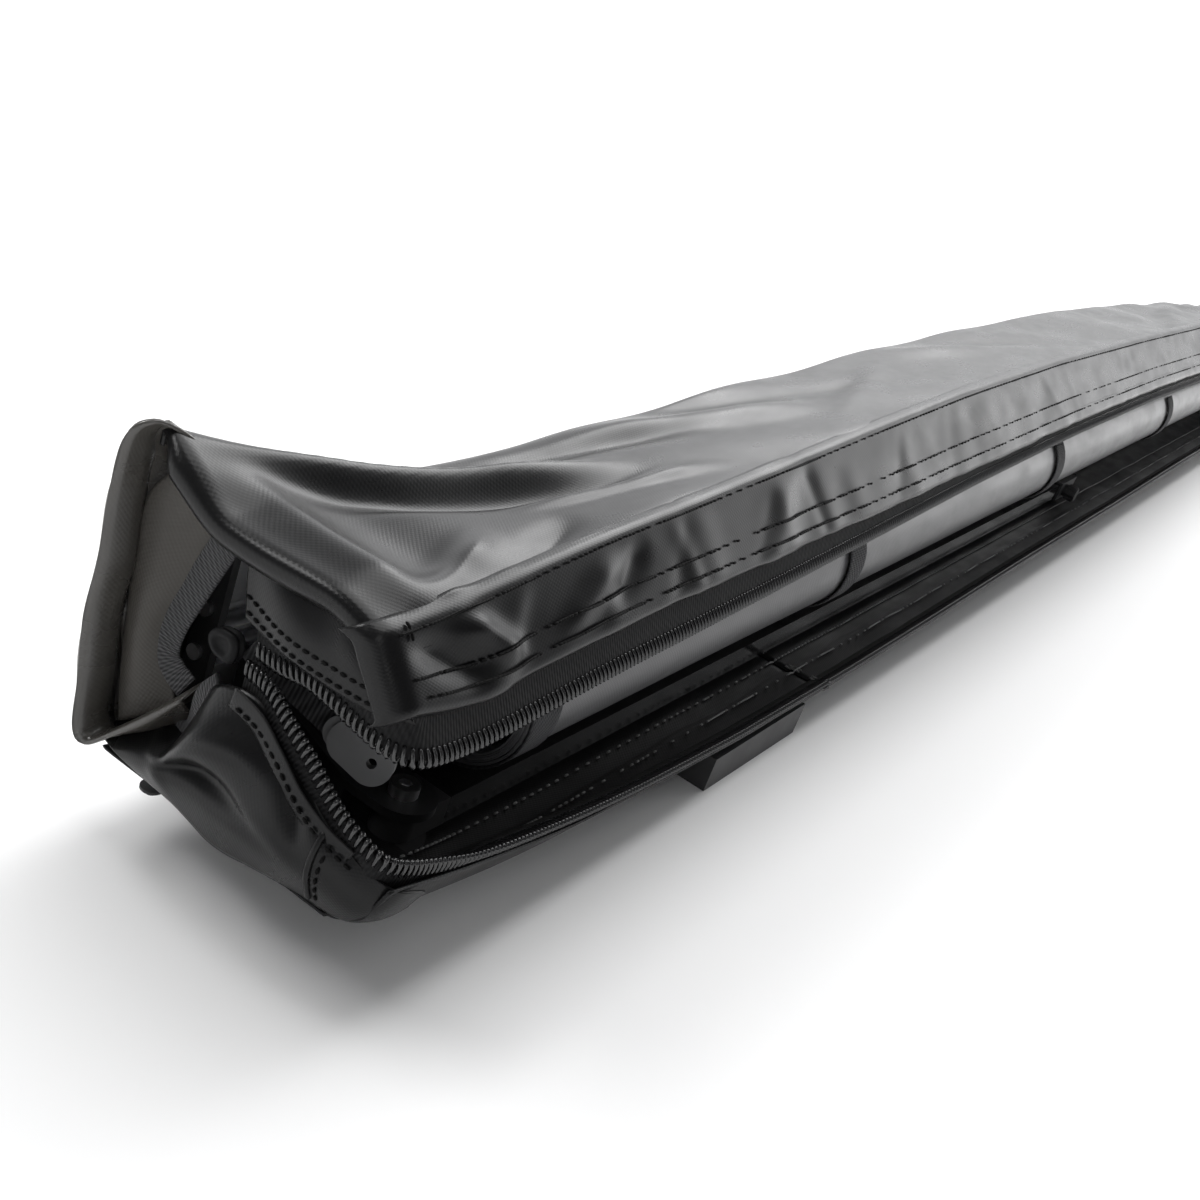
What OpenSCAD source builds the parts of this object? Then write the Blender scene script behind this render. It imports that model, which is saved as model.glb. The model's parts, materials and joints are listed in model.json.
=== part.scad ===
// Roll out awning for a camper van, packed in its zip bag.
// X runs along the vehicle, Y from the bag's mouth to the vehicle, Z up.
// The origin is on the ground under the middle of the whole object.

/* [Bag] */
// Length of the bag over its two ends
bag_length = 2300; // [2100:10:2800]
// Depth of the bag from the lower zip to the back of the rail
bag_depth = 148; // [142:1:170]
// Height of the bag at its back edge
bag_height = 149; // [144:1:175]
// Thickness of the coated bag cloth
cloth = 1.2; // [0.8:0.1:1.6]
// Distance of the front seam behind the lower zip
seam_back = 35; // [28:1:42]
// Height of the front seam above the bag floor
seam_height = 128; // [120:1:134]
// Distance of the upper zip edge behind the lower zip
lip_back = 15; // [10:1:20]
// Height of the upper zip edge above the bag floor
lip_height = 103; // [101:1:108]
// Radius of the cloth bends
cloth_bend = 7; // [3:0.5:9]
// Length of the hood that wraps the back corner at each end
hood_length = 36; // [24:1:40]
// Height of the gusset's front corner above the bag floor
gusset_height = 48; // [40:1:56]
// Reach of the end flap behind the slider
flap_over = 14; // [12:1:16]
// Distance of the end flap's crown below the top of the bag
flap_drop = 8; // [4:1:14]
// Height of the end flap's notch above the slider
flap_notch = 26; // [20:1:32]
// Distance of the end panel's free edge behind the slider
edge_back = 21; // [18:1:24]
// Height of the end panel's top above the slider
edge_rise = 38; // [30:1:44]
// Distance of the inner end panel inside the bag end
panel_inset = 12; // [9:0.5:16]
// Depth of the hollow in the end panel's free edge
edge_hollow = 22; // [14:1:24]
// Height of the end panel's free edge
edge_drop = 100; // [90:1:104]
// Width of the woven binding on the free edge
bind_w = 9; // [6:0.5:10]
// Thickness of the binding
bind_t = 1; // [0.6:0.1:1.4]
// Radius of the hood's bends
hood_bend = 4; // [2:0.5:6]
// Distance of the stud under the hood from the bag end
stud_inset = 17; // [12:1:24]

/* [Zip] */
// Width of the woven zip tape that shows beyond the cloth
tape_show = 8; // [4:0.5:9]
// Width of the zip tape sewn under the cloth
tape_sewn = 9; // [6:0.5:14]
// Thickness of the zip tape
tape_t = 0.8; // [0.5:0.1:1.2]
// Width of the coil chain
chain_w = 8; // [5:0.5:9]
// Thickness of the coil chain
chain_t = 3.4; // [2.4:0.1:3.6]
// Distance of the slider behind the lower zip
slider_back = 91; // [80:1:98]
// Height of the slider above the bag floor
slider_height = 87; // [82:1:92]
// Length of the slider body
slider_len = 15; // [11:0.5:18]
// Length of the webbing on the zip pull
pull_tape_len = 50; // [36:1:54]
// Width of the webbing on the zip pull
pull_tape_w = 10; // [6:0.5:11]
// Thickness of the webbing on the zip pull
pull_tape_t = 1.6; // [1:0.1:2.5]
// Length of the moulded tab on the zip pull
pull_tab_len = 28; // [20:1:32]
// Width of the moulded tab
pull_tab_w = 17; // [12:0.5:20]
// Thickness of the moulded tab
pull_tab_t = 7; // [4:0.5:9]

/* [Rail] */
// Distance of the rail end inside the bag end
rail_inset = 44; // [42:1:60]
// Height of the rail extrusion
rail_h = 108; // [106:1:120]
// Height of the rail's lower edge above the bag floor
rail_lift = 2; // [1.5:0.25:3]
// Wall of the rail extrusion
rail_wall = 3; // [2:0.25:3.5]
// Opening of the bolt slots in the back of the rail
slot_open = 9; // [8.5:0.25:10]
// Width of the bolt slot inside
slot_w = 15; // [14:0.5:17]
// Depth of the bolt slot inside
slot_deep = 6; // [5.5:0.25:8]
// Height of the lower bolt slot above the bag floor
slot_low = 34; // [33:0.5:35]
// Height of the upper bolt slot above the bag floor
slot_high = 85; // [84:0.5:87]
// Bore of the grooves for the cloth beads
groove_d = 7; // [6.5:0.25:8]
// Slit of the grooves
groove_slit = 2.6; // [2.2:0.1:3]
// Clearance round the beads in their grooves
bead_gap = 0.3; // [0.2:0.05:0.4]
// Height of the canopy groove above the bag floor
canopy_groove = 60; // [58:0.5:62]
// Thickness of the moulded rail end caps
rail_cap_t = 4; // [3:0.5:5]

/* [Mounting brackets] */
// Length of a bracket along the rail
mount_len = 113; // [100:1:140]
// Distance of a bracket's outer side inside the bag end
mount_inset = 283; // [200:1:400]
// Height of the bracket shelf, from the ground to the bag floor
mount_shelf = 20; // [18:1:40]
// Thickness of the bracket plate
mount_t = 4; // [3:0.5:5]
// Thickness of the bracket's upright leg
mount_leg_t = 6; // [5:0.5:8]
// Diameter of the fixing holes to the vehicle
fix_hole_d = 9; // [7:0.25:11]
// Spacing of the holes along the bracket
fix_spacing = 70; // [60:1:80]
// Thread diameter of the slot bolts
slot_bolt_d = 8; // [6:0.5:8]
// Head diameter of the slot bolts
slot_head_d = 16; // [14:0.5:18]

/* [Canopy roll] */
// Distance of the canopy roll end inside the bag end
roll_inset = 110; // [105:1:130]
// Radius of the rolled canopy
roll_r = 35; // [34:0.25:35.5]
// Distance of the roll centre behind the lower zip
roll_back = 58; // [56:1:62]
// Height of the roll centre above the bag floor
roll_height = 60.5; // [60:0.5:63]
// Step of the roll's outermost lap
lap_step = 1.4; // [0.8:0.1:2]
// Thickness of the canopy cloth
canopy_t = 0.9; // [0.6:0.1:1.2]
// Width of the webbing hem at the canopy sides
hem_w = 22; // [15:1:30]
// Thickness of the webbing hem
hem_t = 1.1; // [0.8:0.1:1.4]
// Number of straps round the roll
strap_count = 4; // [2:1:6]
// Spacing of the straps
strap_pitch = 460; // [300:10:460]
// Width of a strap
strap_w = 25; // [18:1:30]
// Thickness of a strap
strap_t = 1.6; // [1:0.1:2]
// Length of a strap's loose end
strap_end = 24; // [10:1:26]

/* [Lead bar] */
// Height of the lead bar section
lead_h = 49; // [49:0.25:50]
// Depth of the lead bar behind the leg axis
lead_back = 13; // [13:0.1:13.5]
// Radius of the lead bar's back corners
lead_corner = 5; // [3:0.25:6]
// Depth of the lead bar's side walls in front of the leg axis
lead_lip = 10; // [8:0.25:11]
// Wall of the lead bar
lead_wall = 1.6; // [1.2:0.1:1.7]
// How far the lead bar runs past the canopy roll at each end
lead_over = 5; // [3:0.5:10]
// Thickness of the lead bar's end caps
lead_cap_t = 10; // [6:0.5:14]
// Distance of the leg pin inside the lead bar end
pin_inset = 20; // [18:0.5:30]

/* [Legs] */
// Distance of a leg's axis above or below the middle of the lead bar
leg_lane = 11.3; // [11.2:0.05:11.5]
// Diameter of the outer leg tube
leg_d = 19; // [18:0.1:19.4]
// Wall of the outer leg tube
leg_wall = 1.2; // [1:0.05:1.4]
// How far the outer leg tubes run past the middle of the lead bar
leg_past = 27; // [-200:1:60]
// Diameter of the inner leg tube
leg_inner_d = 16; // [14.5:0.1:16]
// Wall of the inner leg tube
leg_inner_wall = 1.2; // [0.8:0.05:1.6]
// Free length behind the inner leg tube inside the outer one
leg_rear_gap = 75; // [10:1:200]
// Diameter of the twist collar
collar_d = 22; // [21:0.1:22.2]
// Length of the twist collar
collar_len = 40; // [30:1:60]
// Diameter of the rubber foot
foot_d = 18; // [17:0.25:19]
// Length of the rubber foot
foot_len = 26; // [18:1:40]
// Diameter of the leg pins
leg_pin_d = 8; // [5:0.25:9]

/* [Arms] */
// Distance of the arm pivot inside the rail end
pivot_inset = 31; // [28:1:45]
// Distance of the front arm's axis behind the lower zip
arm_back = 51; // [46:1:54]
// Distance between the axes of the two arms
arm_pitch = 22; // [22:0.5:26]
// Width of the outer arm tube
arm_w = 20; // [18:0.25:20]
// Height of the outer arm tube
arm_h = 14; // [13:0.25:14.5]
// Wall of the arm tubes
arm_wall = 1.5; // [1.2:0.05:1.75]
// Gap between the inner and outer arm tubes
arm_gap = 0.5; // [0.3:0.05:0.7]
// Height of the arm's underside above the bag floor
arm_height = 6.4; // [6.2:0.1:7]
// Free length behind the inner arm tube inside the outer one
arm_rear_gap = 86; // [10:1:200]
// Gap between the two arm tips at the middle
tip_gap = 32; // [24:1:60]
// Length of an arm tip fitting
tip_len = 30; // [22:1:45]
// Diameter of the arm pivot bolt
pivot_d = 8; // [6:0.25:9]
// Thickness of the pivot ears
ear_t = 4; // [3:0.25:4]
// Width of the pivot ears
ear_w = 30; // [24:0.5:34]
// Diameter of the clamp knob
knob_d = 16; // [13:0.5:16]
// Thickness of the clamp knob
knob_t = 9; // [6:0.5:12]

/* [Fits] */
// Radial clearance of a turning pin in its bore
run_gap = 0.05; // [0.02:0.01:0.09]
// Clearance between neighbours that slide past each other
slide_gap = 0.3; // [0.25:0.05:0.5]
// Clearance round screws, beads and cloth in their holes and slits
touch_gap = 0.1; // [0.05:0.05:0.2]

/* [Hidden] */
$fn = 48;

// Main planes
end_x = bag_length / 2;
lip_y = -(bag_depth + mount_leg_t) / 2;
back_y = lip_y + bag_depth;
floor_z = mount_shelf;
top_z = floor_z + bag_height;

// Rail
rail_x = end_x - rail_inset;
rail_low = floor_z + rail_lift;
rail_high = rail_low + rail_h;
rail_cap_x = rail_x + rail_cap_t;
slot_box_w = slot_w + 2 * rail_wall;
slot_box_deep = 2 * rail_wall + slot_deep;
groove_r = groove_d / 2 + 2;
groove_y = back_y - groove_r - 0.5;
bead_d = groove_d - 2 * bead_gap;
port_y = back_y - rail_wall - 2.5;
slot_heights = [floor_z + slot_low, floor_z + slot_high];
port_d = 4;
port_wall = 2;
port_heights = [floor_z + (slot_low + slot_box_w / 2 + canopy_groove - groove_r) / 2,
    floor_z + (canopy_groove + groove_r + slot_high - slot_box_w / 2) / 2];
slot_head_deep = (slot_head_d - slot_bolt_d) / 2;
socket_across = 5;
socket_deep = 3;

// Bag cloth, as paths across the bag
flange_z = top_z - cloth / 2;
lip_point = [lip_y + lip_back, floor_z + lip_height];
seam_point = [lip_y + seam_back, floor_z + seam_height];
top_path = [[groove_y, rail_high - groove_r], [groove_y, flange_z], seam_point, lip_point];
sole_z = floor_z + cloth / 2;
floor_path = [[groove_y, rail_low + groove_r], [groove_y, sole_z], [lip_y + chain_w, sole_z]];
cloth_x = end_x - cloth;
tape_x = end_x - chain_t - touch_gap;

// Canopy roll, lead bar and legs
roll_y = lip_y + roll_back;
roll_z = floor_z + roll_height;
roll_x = end_x - roll_inset;
lead_x = roll_x + lead_over;
pin_x = lead_x - pin_inset;
hollow_gap = 0.6;
canopy_groove_z = floor_z + canopy_groove;
hem_r = roll_r + slide_gap;
strap_r = roll_r + slide_gap;

// Arms
pivot_x = rail_x - pivot_inset;
arm_front_y = lip_y + arm_back;
arm_rear_y = arm_front_y + arm_pitch;
arm_mid_z = floor_z + arm_height + arm_h / 2;
knuckle_len = arm_w + 2;
clamp_len = 36;
clamp_lip = 6;
clamp_wall = 1.75;
tip_start = pivot_x - tip_gap / 2 - tip_len;
arm_mouth = tip_start - clamp_lip - slide_gap;
arm_inner_w = arm_w - 2 * arm_wall - 2 * arm_gap;
arm_inner_h = arm_h - 2 * arm_wall - 2 * arm_gap;
arm_plug = 36;
ear_low = floor_z + cloth + 0.7;
ear_high = floor_z + arm_height + arm_h + slide_gap;
bolt_head_d = 13;
bolt_head_h = 5;
stud_d = 5;
boss_t = 3;
boss_d = 12;
bracket_plate_t = 4;
bracket_face_y = back_y - slot_box_deep;

function unit(v) = v / norm(v);
function left_of(v) = [-v[1], v[0]];
function reversed(p) = [for (i = [len(p) - 1 : -1 : 0]) p[i]];

// Points of a path moved sideways, with mitred corners
function shifted(p, s) = [for (i = [0 : len(p) - 1])
    let (a = unit(i > 0 ? p[i] - p[i - 1] : p[1] - p[0]))
    let (b = i < len(p) - 1 ? unit(p[i + 1] - p[i]) : a)
    let (m = unit(left_of(a) + left_of(b)))
    p[i] + m * s / (m * left_of(b))];

// Outline of a cloth band of even thickness along a path
function band(p, t) = concat(shifted(p, t / 2), reversed(shifted(p, -t / 2)));

// Path with each inner corner turned into a bend of a few points
function bent(p, r, steps = 5) = [for (i = [0 : len(p) - 1])
    let (inner = i > 0 && i < len(p) - 1)
    let (a = inner ? p[i] + unit(p[i - 1] - p[i]) * r : p[i])
    let (b = inner ? p[i] + unit(p[i + 1] - p[i]) * r : p[i])
    for (k = [0 : inner ? steps : 0])
    let (u = k / steps)
    inner ? (1 - u) * (1 - u) * a + 2 * u * (1 - u) * p[i] + u * u * b : p[i]];

// Profile in Y and Z drawn out along X
module along_x(from, to) {
    translate([from, 0, 0]) rotate([90, 0, 90]) linear_extrude(to - from) children();
}

// Profile in X and Y drawn out along Z
module along_z(from, to) {
    translate([0, 0, from]) linear_extrude(to - from) children();
}

// A copy at each end of the awning
module both_ends() {
    children();
    mirror([1, 0, 0]) children();
}

// Bar with round long edges, lying along X
module round_bar(length, w, t) {
    translate([0, 0, -t / 2]) linear_extrude(t) union() {
        translate([w / 2, -w / 2]) square([length - w, w]);
        for (x = [w / 2, length - w / 2])
            translate([x, 0]) circle(d = w);
    }
}

module hex(across, h) {
    cylinder(d = across / cos(30), h = h, $fn = 6);
}

// Round groove with a slit that opens along the given angle
module groove_cut(angle) {
    circle(d = groove_d);
    rotate(angle) translate([0, -groove_slit / 2]) square([groove_r + 2, groove_slit]);
}

module rail_profile() {
    difference() {
        union() {
            translate([back_y - rail_wall, rail_low]) square([rail_wall, rail_high - rail_low]);
            for (z = slot_heights)
                translate([back_y - slot_box_deep, z - slot_box_w / 2]) square([slot_box_deep, slot_box_w]);
            translate([groove_y, rail_high - groove_r]) circle(r = groove_r);
            translate([groove_y, rail_low + groove_r]) circle(r = groove_r);
            translate([groove_y, canopy_groove_z]) circle(r = groove_r);
            for (z = [rail_high - groove_r, rail_low + groove_r, canopy_groove_z])
                translate([groove_y, z - groove_r / 2]) square([back_y - groove_y, groove_r]);
            for (z = port_heights)
                translate([port_y, z]) circle(d = port_d + 2 * port_wall);
        }
        for (z = slot_heights) {
            translate([back_y - rail_wall - slot_deep, z - slot_w / 2]) square([slot_deep, slot_w]);
            translate([back_y - rail_wall - 1, z - slot_open / 2]) square([rail_wall + 2, slot_open]);
        }
        translate([groove_y, rail_high - groove_r]) groove_cut(90);
        translate([groove_y, rail_low + groove_r]) groove_cut(-90);
        translate([groove_y, canopy_groove_z]) groove_cut(180);
        for (z = port_heights)
            translate([port_y, z]) circle(d = port_d);
    }
}

module back_rail() {
    color("silver") difference() {
        along_x(-rail_x, rail_x) rail_profile();
        both_ends() bracket_screw_places() translate([0, 0, -1])
            cylinder(d = stud_d + 2 * touch_gap, h = slot_box_deep);
    }
}

module rail_caps() {
    cap_y = back_y - slot_box_deep - 1;
    corner = 3;
    color("dimgray") both_ends() difference() {
        along_x(rail_x, rail_cap_x) union() {
            translate([cap_y, rail_low + corner]) square([back_y - cap_y, rail_high - rail_low - 2 * corner]);
            translate([cap_y + corner, rail_low]) square([back_y - cap_y - 2 * corner, rail_high - rail_low]);
            for (y = [cap_y + corner, back_y - corner])
                for (z = [rail_low + corner, rail_high - corner])
                    translate([y, z]) circle(r = corner);
        }
        for (z = port_heights)
            translate([rail_x - 1, port_y, z]) rotate([0, 90, 0])
                cylinder(d = port_d + 2 * touch_gap, h = rail_cap_t + 2);
        for (z = [rail_low, rail_high - groove_r])
            along_x(rail_x - 1, rail_cap_x + 1) translate([groove_y - groove_slit / 2, z - slide_gap])
                square([groove_slit, groove_r + 2 * slide_gap]);
    }
}

module rail_screws() {
    grip = 14;
    head_d = 7;
    head_h = 2;
    color("gainsboro") both_ends() for (z = port_heights)
        translate([rail_cap_x, port_y, z]) rotate([0, 90, 0]) union() {
            cylinder(d = head_d, h = head_h);
            translate([0, 0, -grip]) cylinder(d = port_d - 2 * touch_gap, h = grip);
        }
}

// Places of the screws that hold an arm bracket, with Z pointing into the rail
module bracket_screw_places() {
    for (x = [-ear_w / 8, ear_w / 3])
        translate([-pivot_x + x, bracket_face_y, floor_z + slot_low + slot_box_w / 4])
            rotate([-90, 0, 0]) children();
}

// One pivot ear seen from above, from the rail to the pivot
module ear_outline(pivot_y) {
    translate([-pivot_x, pivot_y]) circle(d = ear_w);
    translate([-pivot_x - ear_w / 2, pivot_y]) square([ear_w, bracket_face_y - pivot_y]);
}

module arm_bracket(pivot_y) {
    plate_y = bracket_face_y - bracket_plate_t;
    plate_top = floor_z + slot_low + slot_box_w / 2;
    rib_t = 4;
    rib_y = pivot_y + arm_w / 2 + 8;
    difference() {
        union() {
            along_z(ear_low, floor_z + arm_height - slide_gap) ear_outline(pivot_y);
            along_z(ear_high, ear_high + ear_t) ear_outline(pivot_y);
            translate([-pivot_x - ear_w / 2, plate_y, ear_low])
                cube([ear_w, bracket_plate_t, plate_top - ear_low]);
            along_x(-pivot_x - ear_w / 2, -pivot_x - ear_w / 2 + rib_t)
                polygon([[rib_y, ear_low], [plate_y + 1, ear_low], [plate_y + 1, plate_top],
                    [plate_y - 8, plate_top], [rib_y, ear_high + ear_t]]);
        }
        translate([-pivot_x, pivot_y, ear_low - 1]) cylinder(d = pivot_d, h = plate_top);
        bracket_screw_places() translate([0, 0, -bracket_plate_t - 1])
            cylinder(d = stud_d + 4 * touch_gap, h = bracket_plate_t + 2);
    }
}

module arm_bracket_left() {
    color("#222222") arm_bracket(arm_front_y);
}

module arm_bracket_right() {
    color("#222222") mirror([1, 0, 0]) arm_bracket(arm_rear_y);
}

module bracket_screws() {
    head_d = 9;
    head_h = 3;
    color("gainsboro") both_ends() bracket_screw_places() translate([0, 0, -bracket_plate_t]) union() {
        translate([0, 0, -head_h]) cylinder(d = head_d, h = head_h);
        cylinder(d = stud_d, h = bracket_plate_t + rail_wall);
    }
}

module pivot_bolt(y) {
    difference() {
        union() {
            translate([0, y, ear_low]) cylinder(d = pivot_d, h = ear_high + ear_t - ear_low + 1);
            translate([0, y, ear_high + ear_t]) cylinder(d = bolt_head_d, h = bolt_head_h);
        }
        translate([0, y, ear_high + ear_t + bolt_head_h - socket_deep]) hex(socket_across, socket_deep + 1);
    }
}

module arm_pivot_bolts() {
    color("gainsboro") {
        translate([-pivot_x, 0, 0]) pivot_bolt(arm_front_y);
        translate([pivot_x, 0, 0]) pivot_bolt(arm_rear_y);
    }
}

// Places of a bracket's slot bolts on the back face, with Z pointing to the rail
module slot_bolt_places() {
    for (x = [-fix_spacing / 2, fix_spacing / 2])
        for (z = slot_heights)
            translate([x, back_y + mount_leg_t, z]) rotate([90, 0, 0]) children();
}

module mount_middle() {
    translate([-end_x + mount_inset + mount_len / 2, 0, 0]) children();
}

// Shelf under the bag with turned down edges, and the upright leg behind the rail
module mount_bracket() {
    leg_top = floor_z + slot_high + slot_box_w / 2;
    leg_corner = 12;
    difference() {
        union() {
            difference() {
                translate([-mount_len / 2, lip_y, 0]) cube([mount_len, bag_depth + mount_leg_t, floor_z]);
                translate([-mount_len / 2 + mount_t, lip_y + mount_t, -1])
                    cube([mount_len - 2 * mount_t, bag_depth - mount_t, floor_z + 1 - mount_t]);
            }
            translate([-mount_len / 2, back_y, 0]) cube([mount_len, mount_leg_t, leg_top - leg_corner]);
            translate([-mount_len / 2 + leg_corner, back_y, 0])
                cube([mount_len - 2 * leg_corner, mount_leg_t, leg_top]);
            for (x = [-mount_len / 2 + leg_corner, mount_len / 2 - leg_corner])
                translate([x, back_y + mount_leg_t, leg_top - leg_corner])
                    rotate([90, 0, 0]) cylinder(r = leg_corner, h = mount_leg_t);
        }
        for (x = [-fix_spacing / 2, fix_spacing / 2])
            translate([x, back_y + mount_leg_t + 1, (floor_z - mount_t) / 2])
                rotate([90, 0, 0]) cylinder(d = fix_hole_d, h = mount_leg_t + 2);
        slot_bolt_places() {
            translate([0, 0, -1]) cylinder(d = slot_bolt_d + 4 * touch_gap, h = mount_leg_t + 2);
            cylinder(d1 = slot_head_d + 4 * touch_gap, d2 = slot_bolt_d + 4 * touch_gap, h = slot_head_deep);
        }
    }
}

module mount_bracket_left() {
    color("#1c1c1c") mount_middle() mount_bracket();
}

module mount_bracket_right() {
    color("#1c1c1c") mirror([1, 0, 0]) mount_middle() mount_bracket();
}

module mount_bolts() {
    sunk = 2 * touch_gap;
    color("gainsboro") both_ends() mount_middle() slot_bolt_places() difference() {
        translate([0, 0, sunk]) union() {
            cylinder(d1 = slot_head_d, d2 = slot_bolt_d, h = slot_head_deep);
            cylinder(d = slot_bolt_d, h = mount_leg_t + rail_wall + slot_deep - 1);
        }
        translate([0, 0, -1]) hex(socket_across, 1 + sunk + socket_deep);
    }
}

module mount_nuts() {
    nut_t = slot_deep - 1.5;
    nut_len = 22;
    nut_w = slot_w - 2 * slide_gap;
    color("gainsboro") both_ends() mount_middle() slot_bolt_places()
        translate([0, 0, mount_leg_t + rail_wall]) difference() {
            translate([-nut_len / 2, -nut_w / 2, 0]) cube([nut_len, nut_w, nut_t]);
            translate([0, 0, -1]) cylinder(d = slot_bolt_d + touch_gap, h = nut_t + 2);
        }
}

module bag_top() {
    color("#1a1a1a") along_x(-cloth_x, cloth_x) polygon(band(bent(top_path, cloth_bend), cloth));
}

module bag_floor() {
    color("#1a1a1a") along_x(-cloth_x, cloth_x) polygon(band(bent(floor_path, rail_low - floor_z), cloth));
}

// Cloth that wraps the back corner beyond the end of the rail
module hood() {
    front = groove_y + cloth;
    back = back_y - cloth / 2;
    path = [[front, flange_z], [back, flange_z], [back, sole_z], [front, sole_z]];
    along_x(-end_x, -end_x + hood_length) polygon(band(bent(path, hood_bend), cloth));
}

module hood_left() {
    color("#1a1a1a") hood();
}

module hood_right() {
    color("#1a1a1a") mirror([1, 0, 0]) hood();
}

module hood_studs() {
    base_d = 10;
    base_t = 1.2;
    cap_h = 2;
    forward = 14;
    color("#2a2a2a") both_ends() translate([end_x - stud_inset, groove_y - forward, floor_z])
        mirror([0, 0, 1]) union() {
            cylinder(d = base_d, h = base_t);
            translate([0, 0, base_t]) cylinder(d1 = base_d * 0.8, d2 = base_d / 2, h = cap_h);
        }
}

// Flat piece of cloth across the end of the bag, from its outline in Y and Z
module end_cloth(outline, from, t = cloth) {
    along_x(from, from + t) polygon(outline);
}

slider_point = [lip_y + slider_back, floor_z + slider_height];
gusset_front = [lip_y + chain_w, floor_z + gusset_height];
chain_gap = chain_w / 2 + tape_show;

module end_flap() {
    crown = [slider_point[0] + flap_over, flange_z - flap_drop];
    notch = slider_point + [flap_over - 2, flap_notch];
    end_cloth([lip_point, seam_point, crown, notch, slider_point + [0, chain_gap]], -end_x);
}

module end_flap_left() {
    color("#1a1a1a") end_flap();
}

module end_flap_right() {
    color("#1a1a1a") mirror([1, 0, 0]) end_flap();
}

module end_gusset() {
    back = slider_point[0] + flap_over;
    end_cloth([[lip_y + chain_w, floor_z], gusset_front - [0, chain_gap], slider_point - [0, chain_gap + 2],
        [back + 2, floor_z + gusset_height - 11], [back - 4, floor_z]], -end_x);
}

module end_gusset_left() {
    color("#1a1a1a") end_gusset();
}

module end_gusset_right() {
    color("#1a1a1a") mirror([1, 0, 0]) end_gusset();
}

// Free edge of the inner end panel, a hollow curve
edge_path = [for (u = [0 : 0.125 : 1])
    slider_point + [edge_back + edge_hollow * sin(180 * u) * (0.4 + u * 0.6), edge_rise - edge_drop * u]];
panel_x = -end_x + panel_inset;
panel_back = groove_y - cloth / 2 - slide_gap;

module end_panel() {
    top = edge_path[0][1];
    bottom = edge_path[len(edge_path) - 1][1];
    end_cloth(concat(edge_path, [[panel_back, bottom], [panel_back, top]]), panel_x);
}

module end_panels() {
    color("#3a3936") both_ends() end_panel();
}

module end_bindings() {
    color("#3d3d3d") both_ends()
        along_x(panel_x - bind_t, panel_x) polygon(band(shifted(edge_path, -bind_w / 2 + 1), bind_w));
}

// Directions across the front of the bag
lip_dir = unit(lip_point - seam_point);
lip_in = left_of(lip_dir) * ((cloth + tape_t) / 2 + touch_gap);

module zip_tape_upper() {
    path = [lip_point - lip_dir * tape_sewn + lip_in, lip_point + lip_dir * tape_show + lip_in];
    color("#202020") along_x(-tape_x, tape_x) polygon(band(path, tape_t));
}

module zip_tape_lower() {
    top = floor_z + cloth + tape_t / 2;
    color("#202020") along_x(-tape_x, tape_x)
        polygon(band([[lip_y + chain_w + tape_sewn, top], [lip_y + chain_w, top]], tape_t));
}

module zip_chain_upper() {
    start = lip_point + lip_dir * tape_show + lip_in;
    end_path = [start + lip_dir * chain_w / 2, slider_point + [0, chain_w / 2]];
    color("#0c0c0c") union() {
        along_x(-cloth_x, cloth_x) polygon(band([start, start + lip_dir * chain_w], chain_t));
        both_ends() along_x(-end_x, -end_x + chain_t) polygon(band(end_path, chain_w));
    }
}

module zip_chain_lower() {
    mid = floor_z + touch_gap + chain_t / 2;
    corner = [lip_y + chain_w / 2, mid];
    end_path = [corner, gusset_front - [chain_w / 2, 0], slider_point - [chain_stop, chain_w / 2 + 1]];
    bend = 6;
    color("#0c0c0c") union() {
        along_x(-cloth_x, cloth_x) polygon(band([[lip_y + chain_w, mid], [lip_y, mid]], chain_t));
        both_ends() along_x(-end_x, -end_x + chain_t) polygon(band(bent(end_path, bend), chain_w));
    }
}

slider_x = -end_x + 1;
chain_stop = 1.2;
slider_y = slider_point[0] + chain_stop;
slider_t = 6;
bail_start = 3;
bail_high = 4;
pull_gap = 0.9;

module zip_slider() {
    w = 2 * chain_w + 2;
    t = slider_t;
    bail_t = 1.6;
    waist = slider_len * 0.4;
    nose = [[waist, w / 2], [slider_len, w / 3], [slider_len, -w / 3], [waist, -w / 2]];
    color("#303030") translate([slider_x + t / 2, slider_y, slider_point[1]]) rotate([90, 0, 90]) union() {
        translate([0, 0, -t / 2]) linear_extrude(t) polygon(concat([[0, -w / 2], [0, w / 2]], nose));
        translate([bail_start, -bail_t / 2, t / 2 - 1])
            cube([slider_len - 2 * bail_start, bail_t, bail_high + 1]);
    }
}

// The pull runs forward and down from the slider, inside the end of the bag
pull_start = [slider_x + slider_t + bail_high, slider_y + bail_start - pull_gap, slider_point[1]];
pull_turn = -72;
pull_dip = 23;

module pull_frame() {
    translate(pull_start) rotate([0, 0, pull_turn]) rotate([0, pull_dip, 0]) rotate([70, 0, 0]) children();
}

module zip_pull_tape() {
    color("#2b2b2b") pull_frame() box_x(0, pull_tape_len, pull_tape_w, pull_tape_t);
}

// Moulded grip with a thinner neck, a slot for the webbing and a hole near its end
module zip_pull_tab() {
    grip = 8;
    neck = 3;
    eye_d = 4;
    from = pull_tape_len - grip;
    color("#8a8a88") pull_frame() difference() {
        union() {
            translate([from, 0, 0]) round_bar(pull_tab_len, pull_tab_w, pull_tab_t);
            translate([from - neck, 0, 0]) round_bar(pull_tab_len * 0.7, pull_tab_w - 4, pull_tab_t * 0.7);
        }
        box_x(-1, pull_tape_len + touch_gap, pull_tape_w + touch_gap, pull_tape_t + touch_gap);
        translate([from + pull_tab_len - pull_tab_w / 2, 0, -pull_tab_t])
            cylinder(d = eye_d, h = 2 * pull_tab_t);
    }
}

module bead(z) {
    translate([-rail_x, groove_y, z]) rotate([0, 90, 0]) cylinder(d = bead_d, h = 2 * rail_x);
}

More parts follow.
